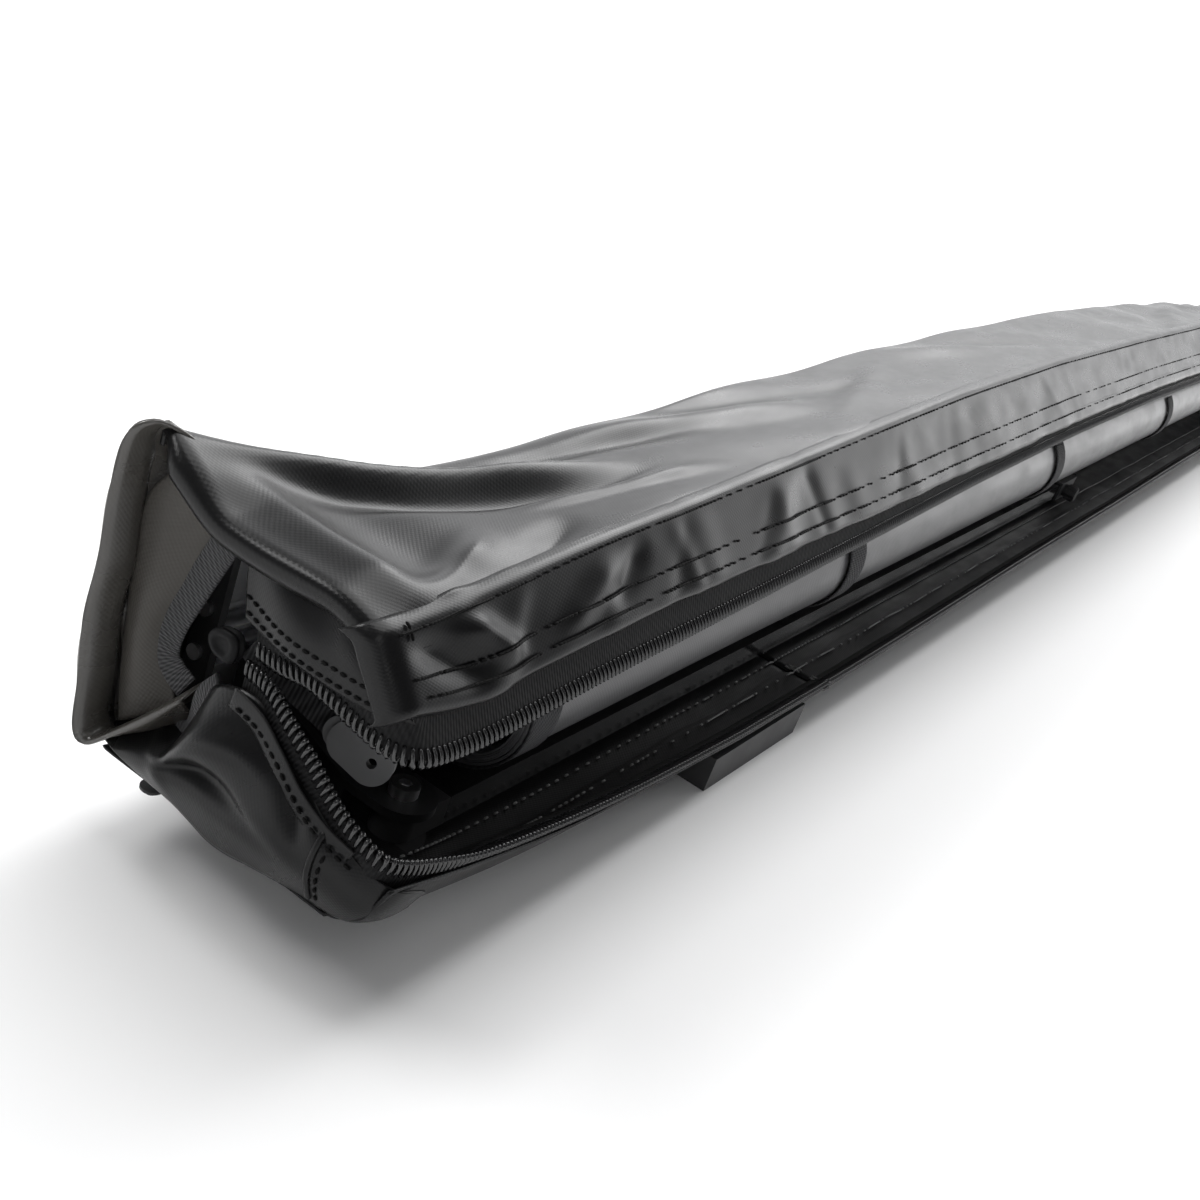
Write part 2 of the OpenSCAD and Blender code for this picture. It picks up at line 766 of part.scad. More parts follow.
// The cloth stubs run to the middle of their grooves, so each bead is slit for its cloth
module bag_beads() {
    color("#d8d8d8") difference() {
        union() {
            bead(rail_high - groove_r);
            bead(rail_low + groove_r);
        }
        along_x(-rail_x - 1, rail_x + 1) translate([groove_y - cloth / 2 - touch_gap, 0]) {
            translate([0, rail_low + groove_r - bead_d]) square([cloth + 2 * touch_gap, bead_d + touch_gap]);
            translate([0, rail_high - groove_r - touch_gap]) square([cloth + 2 * touch_gap, bead_d]);
        }
    }
}

tail_start = [groove_y, canopy_groove_z];
roll_mid = [roll_y, roll_z];
tail_span = tail_start - roll_mid;
tail_r = roll_r + slide_gap + canopy_t / 2;
tail_angle = atan2(tail_span[1], tail_span[0]) + acos(tail_r / norm(tail_span));
tail_touch = roll_mid + tail_r * [cos(tail_angle), sin(tail_angle)];
tail_exit = tail_start - [groove_r + 1, 0];
tail_wedge = 30;

module canopy_bead() {
    color("#d8d8d8") difference() {
        bead(canopy_groove_z);
        along_x(-rail_x - 1, rail_x + 1)
            translate([groove_y - bead_d, canopy_groove_z - canopy_t / 2 - touch_gap])
                square([bead_d + touch_gap, canopy_t + 2 * touch_gap]);
    }
}

module canopy_tail() {
    half = roll_x - hem_w - slide_gap;
    color("#6b6b6b") along_x(-half, half) polygon(band([tail_start, tail_exit, tail_touch], canopy_t));
}

// Section of the lead bar, with the leg axes on its origin line and its open side to the front
module lead_section(grow) {
    half = lead_h / 2 + grow;
    back = lead_back + grow;
    r = lead_corner + grow;
    front = lead_lip + max(grow, 0);
    translate([-front, -half]) square([front + back - r, 2 * half]);
    translate([0, r - half]) square([back, 2 * (half - r)]);
    for (z = [r - half, half - r])
        translate([back - r, z]) circle(r = r);
}

module canopy_roll() {
    turns = [for (a = [0 : 5 : 355]) (roll_r - lap_step * a / 355) * [cos(a - 60), sin(a - 60)]];
    color("#6b6b6b") along_x(-roll_x, roll_x) translate(roll_mid) difference() {
        polygon(turns);
        lead_section(hollow_gap);
        translate([-collar_d / 2 - hollow_gap, -lead_h / 2]) square([collar_d / 2, lead_h]);
    }
}

module roll_hems() {
    color("#151515") both_ends() along_x(-roll_x, -roll_x + hem_w) translate(roll_mid) difference() {
        circle(r = hem_r + hem_t);
        circle(r = hem_r);
    }
}

module roll_straps() {
    end_y = -strap_r - strap_t;
    first = -(strap_count - 1) / 2 * strap_pitch - strap_w / 2;
    color("#151515") for (i = [0 : strap_count - 1])
        along_x(first + i * strap_pitch, first + i * strap_pitch + strap_w) translate(roll_mid) union() {
            difference() {
                circle(r = strap_r + strap_t);
                circle(r = strap_r);
                polygon([[0, 0], for (a = [tail_angle - tail_wedge, tail_angle, tail_angle + 2])
                    2 * roll_r * [cos(a), sin(a)]]);
            }
            translate([end_y, -strap_end]) square([strap_t, strap_end]);
        }
}

module lead_bar() {
    color("#9b9ea2") difference() {
        along_x(-lead_x, lead_x) translate(roll_mid) difference() {
            lead_section(0);
            translate([-1, 0]) lead_section(-lead_wall);
            lead_section(-lead_wall);
        }
        for (x = [-pin_x, pin_x])
            translate([x, roll_y, roll_z - lead_h]) cylinder(d = leg_pin_d, h = 2 * lead_h);
    }
}

module lead_caps() {
    spigot = 6;
    color("#2c2c2e") both_ends() union() {
        along_x(lead_x, lead_x + lead_cap_t) translate(roll_mid) lead_section(0);
        along_x(lead_x - spigot, lead_x) translate(roll_mid) intersection() {
            lead_section(-lead_wall - touch_gap);
            translate([1 - lead_lip, -lead_h]) square([lead_h, 2 * lead_h]);
        }
    }
}

module leg_pins() {
    color("gainsboro") for (x = [-pin_x, pin_x])
        translate([x, roll_y, roll_z - lead_h / 2 + touch_gap])
            cylinder(d = leg_pin_d, h = lead_h - 2 * touch_gap);
}

leg_start = 12;
leg_plug = 28;
leg_mouth = pin_x + leg_past;
leg_bore = leg_d - 2 * leg_wall;
collar_over = 30;

// Left leg on its pin and lane, or the right one turned round into the other lane
module leg_frame(side) {
    translate([side * pin_x, roll_y, roll_z - side * leg_lane]) rotate([0, 0, side > 0 ? 180 : 0]) children();
}

module tube_x(from, to, d, bore) {
    translate([from, 0, 0]) rotate([0, 90, 0]) difference() {
        cylinder(d = d, h = to - from);
        translate([0, 0, -1]) cylinder(d = bore, h = to - from + 2);
    }
}

module rod_x(from, to, d) {
    translate([from, 0, 0]) rotate([0, 90, 0]) cylinder(d = d, h = to - from);
}

module leg_knuckle() {
    hub_h = leg_d - 1;
    difference() {
        union() {
            translate([0, 0, -hub_h / 2]) cylinder(d = hub_h, h = hub_h);
            rod_x(0, leg_start, hub_h);
            rod_x(leg_start, leg_start + leg_plug, leg_bore);
        }
        translate([0, 0, -leg_d]) cylinder(d = leg_pin_d + 2 * run_gap, h = 2 * leg_d);
    }
}

module leg_collar() {
    flutes = 12;
    flute_d = 2;
    flute_end = 7;
    from = leg_mouth - collar_over;
    to = from + collar_len;
    difference() {
        tube_x(from, to, collar_d, leg_inner_d + 2 * slide_gap);
        rod_x(from - 1, leg_mouth + slide_gap, leg_d + 2 * run_gap);
        for (a = [0 : 360 / flutes : 359])
            rotate([a, 0, 0]) translate([from + flute_end, 0, collar_d / 2 + 0.3])
                rotate([0, 90, 0]) cylinder(d = flute_d, h = collar_len - 2 * flute_end);
    }
}

leg_inner_end = leg_mouth - collar_over + collar_len + slide_gap + foot_len / 2;
leg_inner_start = leg_start + leg_plug + leg_rear_gap;

module leg_foot() {
    face = leg_inner_end - foot_len / 2;
    bore_r = leg_inner_d / 2;
    sole_r = foot_d / 2;
    shank_r = sole_r - 0.5;
    edge = 2;
    shank = [[bore_r, 0], [shank_r, 0], [shank_r, foot_len * 0.6], [sole_r, foot_len * 0.7]];
    sole = [[sole_r, foot_len - edge], [sole_r - edge, foot_len], [0, foot_len]];
    socket = [[0, foot_len / 2], [bore_r, foot_len / 2]];
    translate([face, 0, 0]) rotate([0, 90, 0]) rotate_extrude() polygon(concat(shank, sole, socket));
}

module leg_left_knuckle() {
    color("#2c2c2e") leg_frame(-1) leg_knuckle();
}

module leg_left_outer() {
    color("#b9bcc0") leg_frame(-1) tube_x(leg_start, leg_mouth, leg_d, leg_bore);
}

module leg_left_collar() {
    color("#2c2c2e") leg_frame(-1) leg_collar();
}

module leg_left_inner() {
    color("#c9ccd0") leg_frame(-1)
        tube_x(leg_inner_start, leg_inner_end, leg_inner_d, leg_inner_d - 2 * leg_inner_wall);
}

module leg_left_foot() {
    color("#1a1a1a") leg_frame(-1) leg_foot();
}

module leg_right_knuckle() {
    color("#2c2c2e") leg_frame(1) leg_knuckle();
}

module leg_right_outer() {
    color("#b9bcc0") leg_frame(1) tube_x(leg_start, leg_mouth, leg_d, leg_bore);
}

module leg_right_collar() {
    color("#2c2c2e") leg_frame(1) leg_collar();
}

module leg_right_inner() {
    color("#c9ccd0") leg_frame(1)
        tube_x(leg_inner_start, leg_inner_end, leg_inner_d, leg_inner_d - 2 * leg_inner_wall);
}

module leg_right_foot() {
    color("#1a1a1a") leg_frame(1) leg_foot();
}

// Left arm on its pivot, or the right one turned round behind it
module arm_frame(side) {
    translate([side * pivot_x, side > 0 ? arm_rear_y : arm_front_y, arm_mid_z])
        rotate([0, 0, side > 0 ? 180 : 0]) children();
}

module box_x(from, to, w, h) {
    translate([from, -w / 2, -h / 2]) cube([to - from, w, h]);
}

module box_tube(from, to, w, h, wall) {
    difference() {
        box_x(from, to, w, h);
        box_x(from - 1, to + 1, w - 2 * wall, h - 2 * wall);
    }
}

module arm_knuckle() {
    difference() {
        union() {
            translate([0, 0, -arm_h / 2]) cylinder(d = arm_w, h = arm_h);
            box_x(0, knuckle_len, arm_w, arm_h);
            box_x(knuckle_len, knuckle_len + arm_plug, arm_w - 2 * arm_wall, arm_h - 2 * arm_wall);
        }
        translate([0, 0, -arm_h]) cylinder(d = pivot_d + 2 * run_gap, h = 2 * arm_h);
    }
}

module arm_outer() {
    box_tube(knuckle_len, arm_mouth, arm_w, arm_h, arm_wall);
}

knob_x = arm_mouth - clamp_len / 2;
boss_y = -arm_w / 2 - clamp_wall - boss_t;

// Moulded sleeve at the tube's mouth, with a boss for the clamp screw
module arm_clamp() {
    from = arm_mouth - clamp_len;
    w = arm_w + 2 * clamp_wall;
    h = arm_h + 2 * clamp_wall;
    difference() {
        union() {
            box_x(from, arm_mouth + clamp_lip, w, h);
            translate([knob_x, boss_y, 0]) rotate([-90, 0, 0]) cylinder(d = boss_d, h = boss_t + 1);
        }
        box_x(from - 1, arm_mouth, arm_w, arm_h);
        box_x(from, arm_mouth + clamp_lip + 1, arm_inner_w + 2 * slide_gap, arm_inner_h + 2 * slide_gap);
        translate([knob_x, boss_y - 1, 0]) rotate([-90, 0, 0])
            cylinder(d = stud_d + 2 * run_gap, h = boss_t + 3);
    }
}

module arm_knob() {
    lobes = 6;
    lobe_d = 6;
    translate([knob_x, boss_y - slide_gap, 0]) rotate([90, 0, 0]) union() {
        cylinder(d = knob_d - 3, h = knob_t);
        for (a = [0 : 360 / lobes : 359])
            rotate(a) translate([(knob_d - lobe_d) / 2, 0, 0]) cylinder(d = lobe_d, h = knob_t - 1);
        translate([0, 0, touch_gap - boss_t - slide_gap - clamp_wall])
            cylinder(d = stud_d, h = boss_t + clamp_wall + 1);
    }
}

module arm_inner() {
    from = knuckle_len + arm_plug + arm_rear_gap;
    box_tube(from, tip_start + tip_len / 2, arm_inner_w, arm_inner_h, arm_wall);
}

// Tip fitting with a socket for the tube and an open hook for the lead bar's pin
module arm_tip() {
    hook_d = leg_pin_d + 4 * touch_gap;
    hook_x = tip_start + tip_len * 0.76;
    difference() {
        union() {
            box_x(tip_start, tip_start + tip_len - arm_w / 2, arm_w, arm_h);
            translate([tip_start + tip_len - arm_w / 2, 0, -arm_h / 2]) cylinder(d = arm_w, h = arm_h);
        }
        box_x(tip_start - 1, tip_start + tip_len / 2, arm_inner_w, arm_inner_h);
        translate([hook_x, 0, -arm_h]) cylinder(d = hook_d, h = 2 * arm_h);
        translate([hook_x - hook_d / 2, -arm_w, -arm_h]) cube([hook_d, arm_w, 2 * arm_h]);
    }
}

module arm_left_knuckle() {
    color("#2c2c2e") arm_frame(-1) arm_knuckle();
}

module arm_left_outer() {
    color("#18181a") arm_frame(-1) arm_outer();
}

module arm_left_clamp() {
    color("#2c2c2e") arm_frame(-1) arm_clamp();
}

module arm_left_knob() {
    color("#1a1a1a") arm_frame(-1) arm_knob();
}

module arm_left_inner() {
    color("#c9ccd0") arm_frame(-1) arm_inner();
}

module arm_left_tip() {
    color("#2c2c2e") arm_frame(-1) arm_tip();
}

module arm_right_knuckle() {
    color("#2c2c2e") arm_frame(1) arm_knuckle();
}

module arm_right_outer() {
    color("#18181a") arm_frame(1) arm_outer();
}

module arm_right_clamp() {
    color("#2c2c2e") arm_frame(1) arm_clamp();
}

module arm_right_knob() {
    color("#1a1a1a") arm_frame(1) arm_knob();
}

module arm_right_inner() {
    color("#c9ccd0") arm_frame(1) arm_inner();
}

module arm_right_tip() {
    color("#2c2c2e") arm_frame(1) arm_tip();
}

back_rail();
rail_caps();
rail_screws();
arm_bracket_left();
arm_bracket_right();
bracket_screws();
arm_pivot_bolts();
mount_bracket_left();
mount_bracket_right();
mount_bolts();
mount_nuts();
bag_top();
bag_floor();
hood_left();
hood_right();
hood_studs();
end_flap_left();
end_flap_right();
end_gusset_left();
end_gusset_right();
end_panels();
end_bindings();
zip_tape_upper();
zip_tape_lower();
zip_chain_upper();
zip_chain_lower();
zip_slider();
zip_pull_tape();
zip_pull_tab();
bag_beads();
canopy_bead();
roll_straps();
canopy_tail();
canopy_roll();
roll_hems();
lead_bar();
lead_caps();
leg_pins();
leg_left_knuckle();
leg_left_outer();
leg_left_collar();
leg_left_inner();
leg_left_foot();
leg_right_knuckle();
leg_right_outer();
leg_right_collar();
leg_right_inner();
leg_right_foot();
arm_left_knuckle();
arm_left_outer();
arm_left_clamp();
arm_left_knob();
arm_left_inner();
arm_left_tip();
arm_right_knuckle();
arm_right_outer();
arm_right_clamp();
arm_right_knob();
arm_right_inner();
arm_right_tip();
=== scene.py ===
# %% [markdown]
# # A roll out awning in its zip bag
# The awning is a long sausage of rolled canopy, folding legs and arms behind a back rail,
# and a black coated bag holds all of it. The rail, tubes and brackets come ready from the
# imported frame. This lesson dresses them: it sews the bag, rolls the canopy, winds the zip and
# then lights the whole thing. First the frame is loaded and the camera is put where the
# photograph was taken, because every later choice is judged through that camera.

# %% Frame and camera
import json
import math

import bpy
import numpy as np
from mathutils import Matrix, Vector


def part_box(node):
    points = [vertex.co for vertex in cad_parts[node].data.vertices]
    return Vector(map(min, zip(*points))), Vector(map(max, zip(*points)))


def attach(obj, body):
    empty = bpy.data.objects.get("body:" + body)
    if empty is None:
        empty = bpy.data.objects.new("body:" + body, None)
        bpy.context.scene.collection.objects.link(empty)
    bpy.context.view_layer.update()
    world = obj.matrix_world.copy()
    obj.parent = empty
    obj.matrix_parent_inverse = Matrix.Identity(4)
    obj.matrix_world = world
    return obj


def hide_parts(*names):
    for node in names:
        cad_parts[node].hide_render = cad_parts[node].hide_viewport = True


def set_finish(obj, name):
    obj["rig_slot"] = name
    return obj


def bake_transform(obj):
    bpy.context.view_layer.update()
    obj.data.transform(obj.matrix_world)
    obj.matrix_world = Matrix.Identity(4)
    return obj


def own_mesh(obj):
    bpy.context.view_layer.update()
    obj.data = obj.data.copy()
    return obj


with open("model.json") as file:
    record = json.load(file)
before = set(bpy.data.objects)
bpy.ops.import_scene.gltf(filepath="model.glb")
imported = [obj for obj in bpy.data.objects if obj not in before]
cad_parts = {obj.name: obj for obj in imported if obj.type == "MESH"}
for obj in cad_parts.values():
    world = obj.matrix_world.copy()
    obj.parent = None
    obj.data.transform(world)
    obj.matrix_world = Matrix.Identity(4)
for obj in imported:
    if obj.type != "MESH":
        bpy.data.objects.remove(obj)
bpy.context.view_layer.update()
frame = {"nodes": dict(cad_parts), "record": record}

camera_at = Vector((-1.530, -0.286, 0.385))
looking = Vector((0.833, 0.380, -0.403)).normalized()
picture_right = Vector((0.517, -0.794, 0.320))
picture_up = picture_right.cross(looking).normalized()
picture_right = looking.cross(picture_up)
camera = bpy.data.objects.new("camera", bpy.data.cameras.new("camera"))
camera.data.lens = 45.4
camera.matrix_world = Matrix.Translation(camera_at) @ Matrix(
    (picture_right, picture_up, -looking)).transposed().to_4x4()
bpy.context.scene.collection.objects.link(camera)
bpy.context.scene.camera = camera

# %% [markdown]
# ## The places that the cloth hangs from
# Cloth has no size of its own here: it hangs from the rail, wraps the ends and reaches the
# zip. So its places are read from the frame's boxes, and millimetres are named once.

# %% Places from the frame
MM = 0.001
TURN = 2 * math.pi
END = -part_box("hood_left")[0].x
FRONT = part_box("zip_chain_lower")[0].y
RAIL_LOW, RAIL_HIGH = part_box("back_rail")
GROOVE_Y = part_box("bag_floor")[1].y - 0.6 * MM
ROLL_LOW, ROLL_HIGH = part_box("canopy_roll")
ROLL_MID = (ROLL_LOW + ROLL_HIGH) / 2
ROLL_R = (ROLL_HIGH.z - ROLL_LOW.z) / 2
ROLL_X = ROLL_HIGH.x
CLOTH = 1.2 * MM
SIDES = {"left": -1, "right": 1}
print(f"bag {2 * END:.2f} m long, roll {2000 * ROLL_R:.0f} mm across")

# %% [markdown]
# ## Turning grids of points into pieces
# Nearly every piece is a surface: a function of two parameters, worked out as one numpy array.
# Doing the maths on whole arrays keeps it fast and short, and a single helper turns any such
# grid into a mesh with quads and a UV map in metres. The UV map lets a weave follow the cloth.

# %% Mesh helpers
def make_mesh(name, points, faces):
    """One smooth object from an array of points and a list of arrays of face corners."""
    mesh = bpy.data.meshes.new(name)
    corners = np.concatenate([f.ravel() for f in faces]).astype(np.int32)
    sizes = np.concatenate([np.full(len(f), f.shape[1]) for f in faces])
    mesh.vertices.add(len(points))
    mesh.loops.add(len(corners))
    mesh.polygons.add(len(sizes))
    mesh.vertices.foreach_set("co", np.asarray(points, np.float32).ravel())
    mesh.loops.foreach_set("vertex_index", corners)
    mesh.polygons.foreach_set("loop_start", (np.cumsum(sizes) - sizes).astype(np.int32))
    mesh.update(calc_edges=True)
    mesh.shade_smooth()
    piece = bpy.data.objects.new(name, mesh)
    bpy.context.scene.collection.objects.link(piece)
    return piece


def walked(grid, axis):
    """Mean distance walked along one direction of a grid, from its first point."""
    steps = np.linalg.norm(np.diff(grid, axis=axis), axis=2).mean(axis=1 - axis)
    return np.concatenate([[0], np.cumsum(steps)])


def surface(name, grid, thick=0.0, tube=False, caps=False):
    """A grid of points, rows by columns, as quads. Its UV map is in metres, thick adds a wall, tube joins
    the last column to the first, and caps closes a tube's ends with flat faces."""
    rows, cols = grid.shape[:2]
    i, j = np.meshgrid(np.arange(rows - 1), np.arange(cols - 1 + tube), indexing="ij")
    corner = np.stack([np.stack(c, -1) for c in [(i, j), (i, j + 1), (i + 1, j + 1), (i + 1, j)]], 2)
    corner = corner.reshape(-1, 4, 2)
    faces = [corner[..., 0] * cols + corner[..., 1] % cols]
    along = walked(grid, 0)
    across = walked(np.concatenate([grid, grid[:, :1]], axis=1), 1)
    uv = np.stack([along[corner[..., 0]], across[corner[..., 1]]], -1).reshape(-1, 2)
    if caps:
        first = np.arange(cols)[None]
        faces += [first[:, ::-1], (rows - 1) * cols + first]
        uv = np.concatenate([uv, np.zeros((2 * cols, 2))])
    piece = make_mesh(name, grid.reshape(-1, 3), faces)
    piece.data.uv_layers.new(name="UVMap").data.foreach_set("uv", uv.astype(np.float32).ravel())
    if thick:
        wall = piece.modifiers.new("Thickness", "SOLIDIFY")
        wall.thickness = thick
        wall.offset = 0
    return piece


print("helpers: make_mesh, walked, surface")

# %% [markdown]
# Two more helpers carry a shape along a line. A spline runs smoothly through a few given points,
# and a sweep carries a closed section along it, which makes tapes, cords and bars.

# %% Lines and sweeps
def unit(v):
    """Vectors divided by their own lengths."""
    return v / np.maximum(np.linalg.norm(v, axis=-1, keepdims=True), 1e-12)


def spline(points, count):
    """Evenly spaced points on a Catmull-Rom curve. Between b and c, with neighbours a and d, at share t:
    (2b + (c-a)t + (2a-5b+4c-d)t^2 + (3b-a-3c+d)t^3) / 2."""
    p = np.asarray(points, float)
    ends = np.vstack([2 * p[0] - p[1], p, 2 * p[-1] - p[-2]])
    t = np.linspace(0, len(p) - 1, 30 * len(p))
    i = np.minimum(t.astype(int), len(p) - 2)
    t = (t - i)[:, None]
    a, b, c, d = ends[i], ends[i + 1], ends[i + 2], ends[i + 3]
    dense = (2 * b + (c - a) * t + (2 * a - 5 * b + 4 * c - d) * t**2 + (3 * b - a - 3 * c + d) * t**3) / 2
    return evenly(dense, count)


def evenly(path, count):
    """The same line with evenly spaced points."""
    run = np.concatenate([[0], np.cumsum(np.linalg.norm(np.diff(path, axis=0), axis=1))])
    stops = np.linspace(0, run[-1], count)
    return np.column_stack([np.interp(stops, run, path[:, k]) for k in range(path.shape[1])])


def length_of(path):
    """How long a line of points is."""
    return np.linalg.norm(np.diff(path, axis=0), axis=1).sum()


def sweep(name, path, section, up):
    """A closed section carried along a path: path + a * side + b * lift, where side is square to
    the path and to the up direction. The section runs anticlockwise, and flat caps close the ends."""
    forward = unit(np.gradient(path, axis=0))
    side = unit(np.cross(forward, up))
    lift = np.cross(side, forward)
    grid = path[:, None] + side[:, None] * section[..., :1] + lift[:, None] * section[..., 1:]
    return surface(name, grid[:, ::-1], tube=True, caps=True)


def ring(width, height, count=8):
    """An oval section, anticlockwise."""
    a = np.linspace(0, TURN, count, endpoint=False)
    return np.column_stack([width / 2 * np.cos(a), height / 2 * np.sin(a)])


def smooth(share):
    """Zero up to 0, one from 1, and an S-curve between."""
    s = np.clip(share, 0, 1)
    return s * s * (3 - 2 * s)


def bell(off, width):
    """Bell curve: exp(-(off / width)^2)."""
    return np.exp(-((off / width) ** 2))


print("helpers: spline, evenly, length_of, sweep, ring, smooth, bell")

# %% [markdown]
# ## How the bag changes along its length
# A soft bag isn't one section drawn out. It stands up at the ends, sags beside them and fills
# out over the roll. So each line of the bag, such as its ridge or its seam, is a short list of
# heights at a few stations, measured from the nearer end, and the values between are softened.

# %% Lines of the bag
STATION = np.array([0, 40, 90, 140, 200, 300, 440, 600, 840, 1150]) * MM
RIDGE_Y = np.array([76, 70, 65, 63, 62, 62, 62, 62, 62, 62]) * MM
RIDGE_Z = np.array([171, 158, 146, 137, 138, 145, 152, 159, 167, 172]) * MM
SEAM_Y = np.array([-42, -42, -41, -40, -40, -39, -36, -32, -28, -28]) * MM
SEAM_Z = np.array([148, 150, 154, 158, 161, 166, 172, 177, 180, 181]) * MM
LIP_Z = np.array([127, 121, 125, 128, 130, 131, 133, 137, 143, 146]) * MM
LIP_Y = np.array([-60, -63, -62, -62, -62, -62, -62, -62, -62, -62]) * MM
COIL_Y = np.array([-67, -67, -67, -67, -67, -66, -65, -64, -64, -64]) * MM
COIL_DROP = np.array([15, 15, 15, 15, 15, 13, 10, 8, 7, 7]) * MM
HEM_Z = np.array([62, 53, 44, 37, 31, 25, 22.6, 22.6, 24, 22.6]) * MM
SOLE_Z = np.array([36, 30, 22.5, 20.8, 20.7, 20.7, 20.7, 20.7, 20.7, 20.7]) * MM


def along_bag(x, values):
    """A line's value at places x: straight between the stations, then averaged with a bell curve
    2 cm wide, so that the cloth has no corners. Past the end the line goes on at the same slope."""
    step = 2 * MM
    d = np.arange(-0.1, END + 0.1, step)
    reach = np.arange(-30, 31) * step
    weight = bell(reach, 0.02)
    level = np.interp(np.abs(d), STATION, values)
    level = np.where(d < 0, 2 * values[0] - level, level)
    soft = np.convolve(np.pad(level, 30, "edge"), weight / weight.sum(), "valid")
    return np.interp(END - np.abs(x), d, soft)


def inside(x, start, run):
    """Zero up to a distance start inside the bag's ends, and one from a further run inwards."""
    return smooth((END - np.abs(x) - start) / run)


def creases(d, t, folds):
    """Soft folds, added up. Each has a start and an end, as distance from the bag's end and across the cloth,
    and a height and a width in millimetres. It is height * bell(off, width), where off is the distance from
    its line, and it grows and fades over the first and last share of that line."""
    fade = 0.35
    total = 0 * d
    for start, end, height, width in folds:
        run = np.subtract(end, start)
        share = ((d - start[0]) * run[0] + (t - start[1]) * run[1]) / (run @ run)
        off = ((t - start[1]) * run[0] - (d - start[0]) * run[1]) / np.hypot(*run)
        total += height * MM * bell(off, width * MM) * smooth(share / fade) * smooth((1 - share) / fade)
    return total


def ripples(x, t, seed, count, length, height):
    """Slack in the cloth: height / sqrt(count) times the sum of some cosine waves, of like length and with
    chance directions and phases."""
    chance = np.random.default_rng(seed)
    turn = chance.uniform(-1.1, 1.1, count)
    wave = TURN / (length * chance.uniform(0.7, 1.6, count))
    phase = chance.uniform(0, TURN, count)
    arg = (x[..., None] * np.cos(turn) + t[..., None] * np.sin(turn)) * wave + phase
    return height * np.cos(arg).sum(-1) / np.sqrt(count)


def loft(corners, counts, passes):
    """Rows of points between corner lines, each run split evenly, and rounded by averaging every
    row with its neighbours a few times."""
    runs = [a[:, None] + (b - a)[:, None] * np.linspace(0, 1, n, endpoint=False)[:, None]
            for a, b, n in zip(corners[:-1], corners[1:], counts)]
    grid = np.concatenate(runs + [corners[-1][:, None]], axis=1)
    for _ in range(passes):
        grid[:, 1:-1] = (grid[:, :-2] + 2 * grid[:, 1:-1] + grid[:, 2:]) / 4
    return grid


def normals(grid):
    """Unit vectors square to a grid that runs along X and then from back to front. They point up: out of the
    bag on its top, and into it on its floor."""
    return unit(np.cross(np.gradient(grid, axis=1), np.gradient(grid, axis=0)))


def line(x, y, z):
    """Points from places x and the depths and heights of a line of the bag."""
    return np.column_stack([x, np.broadcast_to(y, x.shape), np.broadcast_to(z, x.shape)])


ROLL_UNDER = 6 * MM
near = np.linspace(ROLL_UNDER, 0.5, 190, endpoint=False)
BAG_X = np.concatenate([-END + near, np.linspace(-END + 0.5, END - 0.5, 230), (END - near)[::-1]])
print("stations along the bag:", len(BAG_X))

# %% [markdown]
# ## Finishes
# A finish is a small graph of shader nodes. Written by hand, such graphs are long and hard to
# read, so one small class wraps a socket and lets ordinary sums add the Math nodes, and one
# method adds every other kind of node.

# %% Shader helper
class Socket:
    """A shader value that takes part in Python sums."""

    def __init__(self, graph, link):
        self.graph = graph
        self.link = link

    def math(self, operation, first, second=0.0):
        return self.graph.node("ShaderNodeMath", {"operation": operation}, {0: first, 1: second})

    def __add__(self, other):
        return self.math("ADD", self, other)

    __radd__ = __add__

    def __sub__(self, other):
        return self.math("SUBTRACT", self, other)

    def __rsub__(self, other):
        return self.math("SUBTRACT", other, self)

    def __mul__(self, other):
        return self.math("MULTIPLY", self, other)

    __rmul__ = __mul__

    def sine(self):
        return self.math("SINE", self)

    def size(self):
        return self.math("ABSOLUTE", self)

    def over(self, low, high, first=0.0, last=1.0):
        """One value below low, another above high, and an S-curve between."""
        values = {"Value": self, "From Min": low, "From Max": high, "To Min": first, "To Max": last}
        return self.graph.node("ShaderNodeMapRange", {"interpolation_type": "SMOOTHSTEP"}, values)


class Graph:
    """A tree of shader nodes."""

    def __init__(self, tree):
        self.tree = tree

    def node(self, kind, settings=None, values=None, out=0):
        """Adds a node: its settings first, then values or links on its sockets."""
        made = self.tree.nodes.new(kind)
        for name, value in (settings or {}).items():
            setattr(made, name, value)
        for name, value in (values or {}).items():
            if isinstance(value, Socket):
                self.tree.links.new(value.link, made.inputs[name])
            else:
                made.inputs[name].default_value = value
        return Socket(self, made.outputs[out])


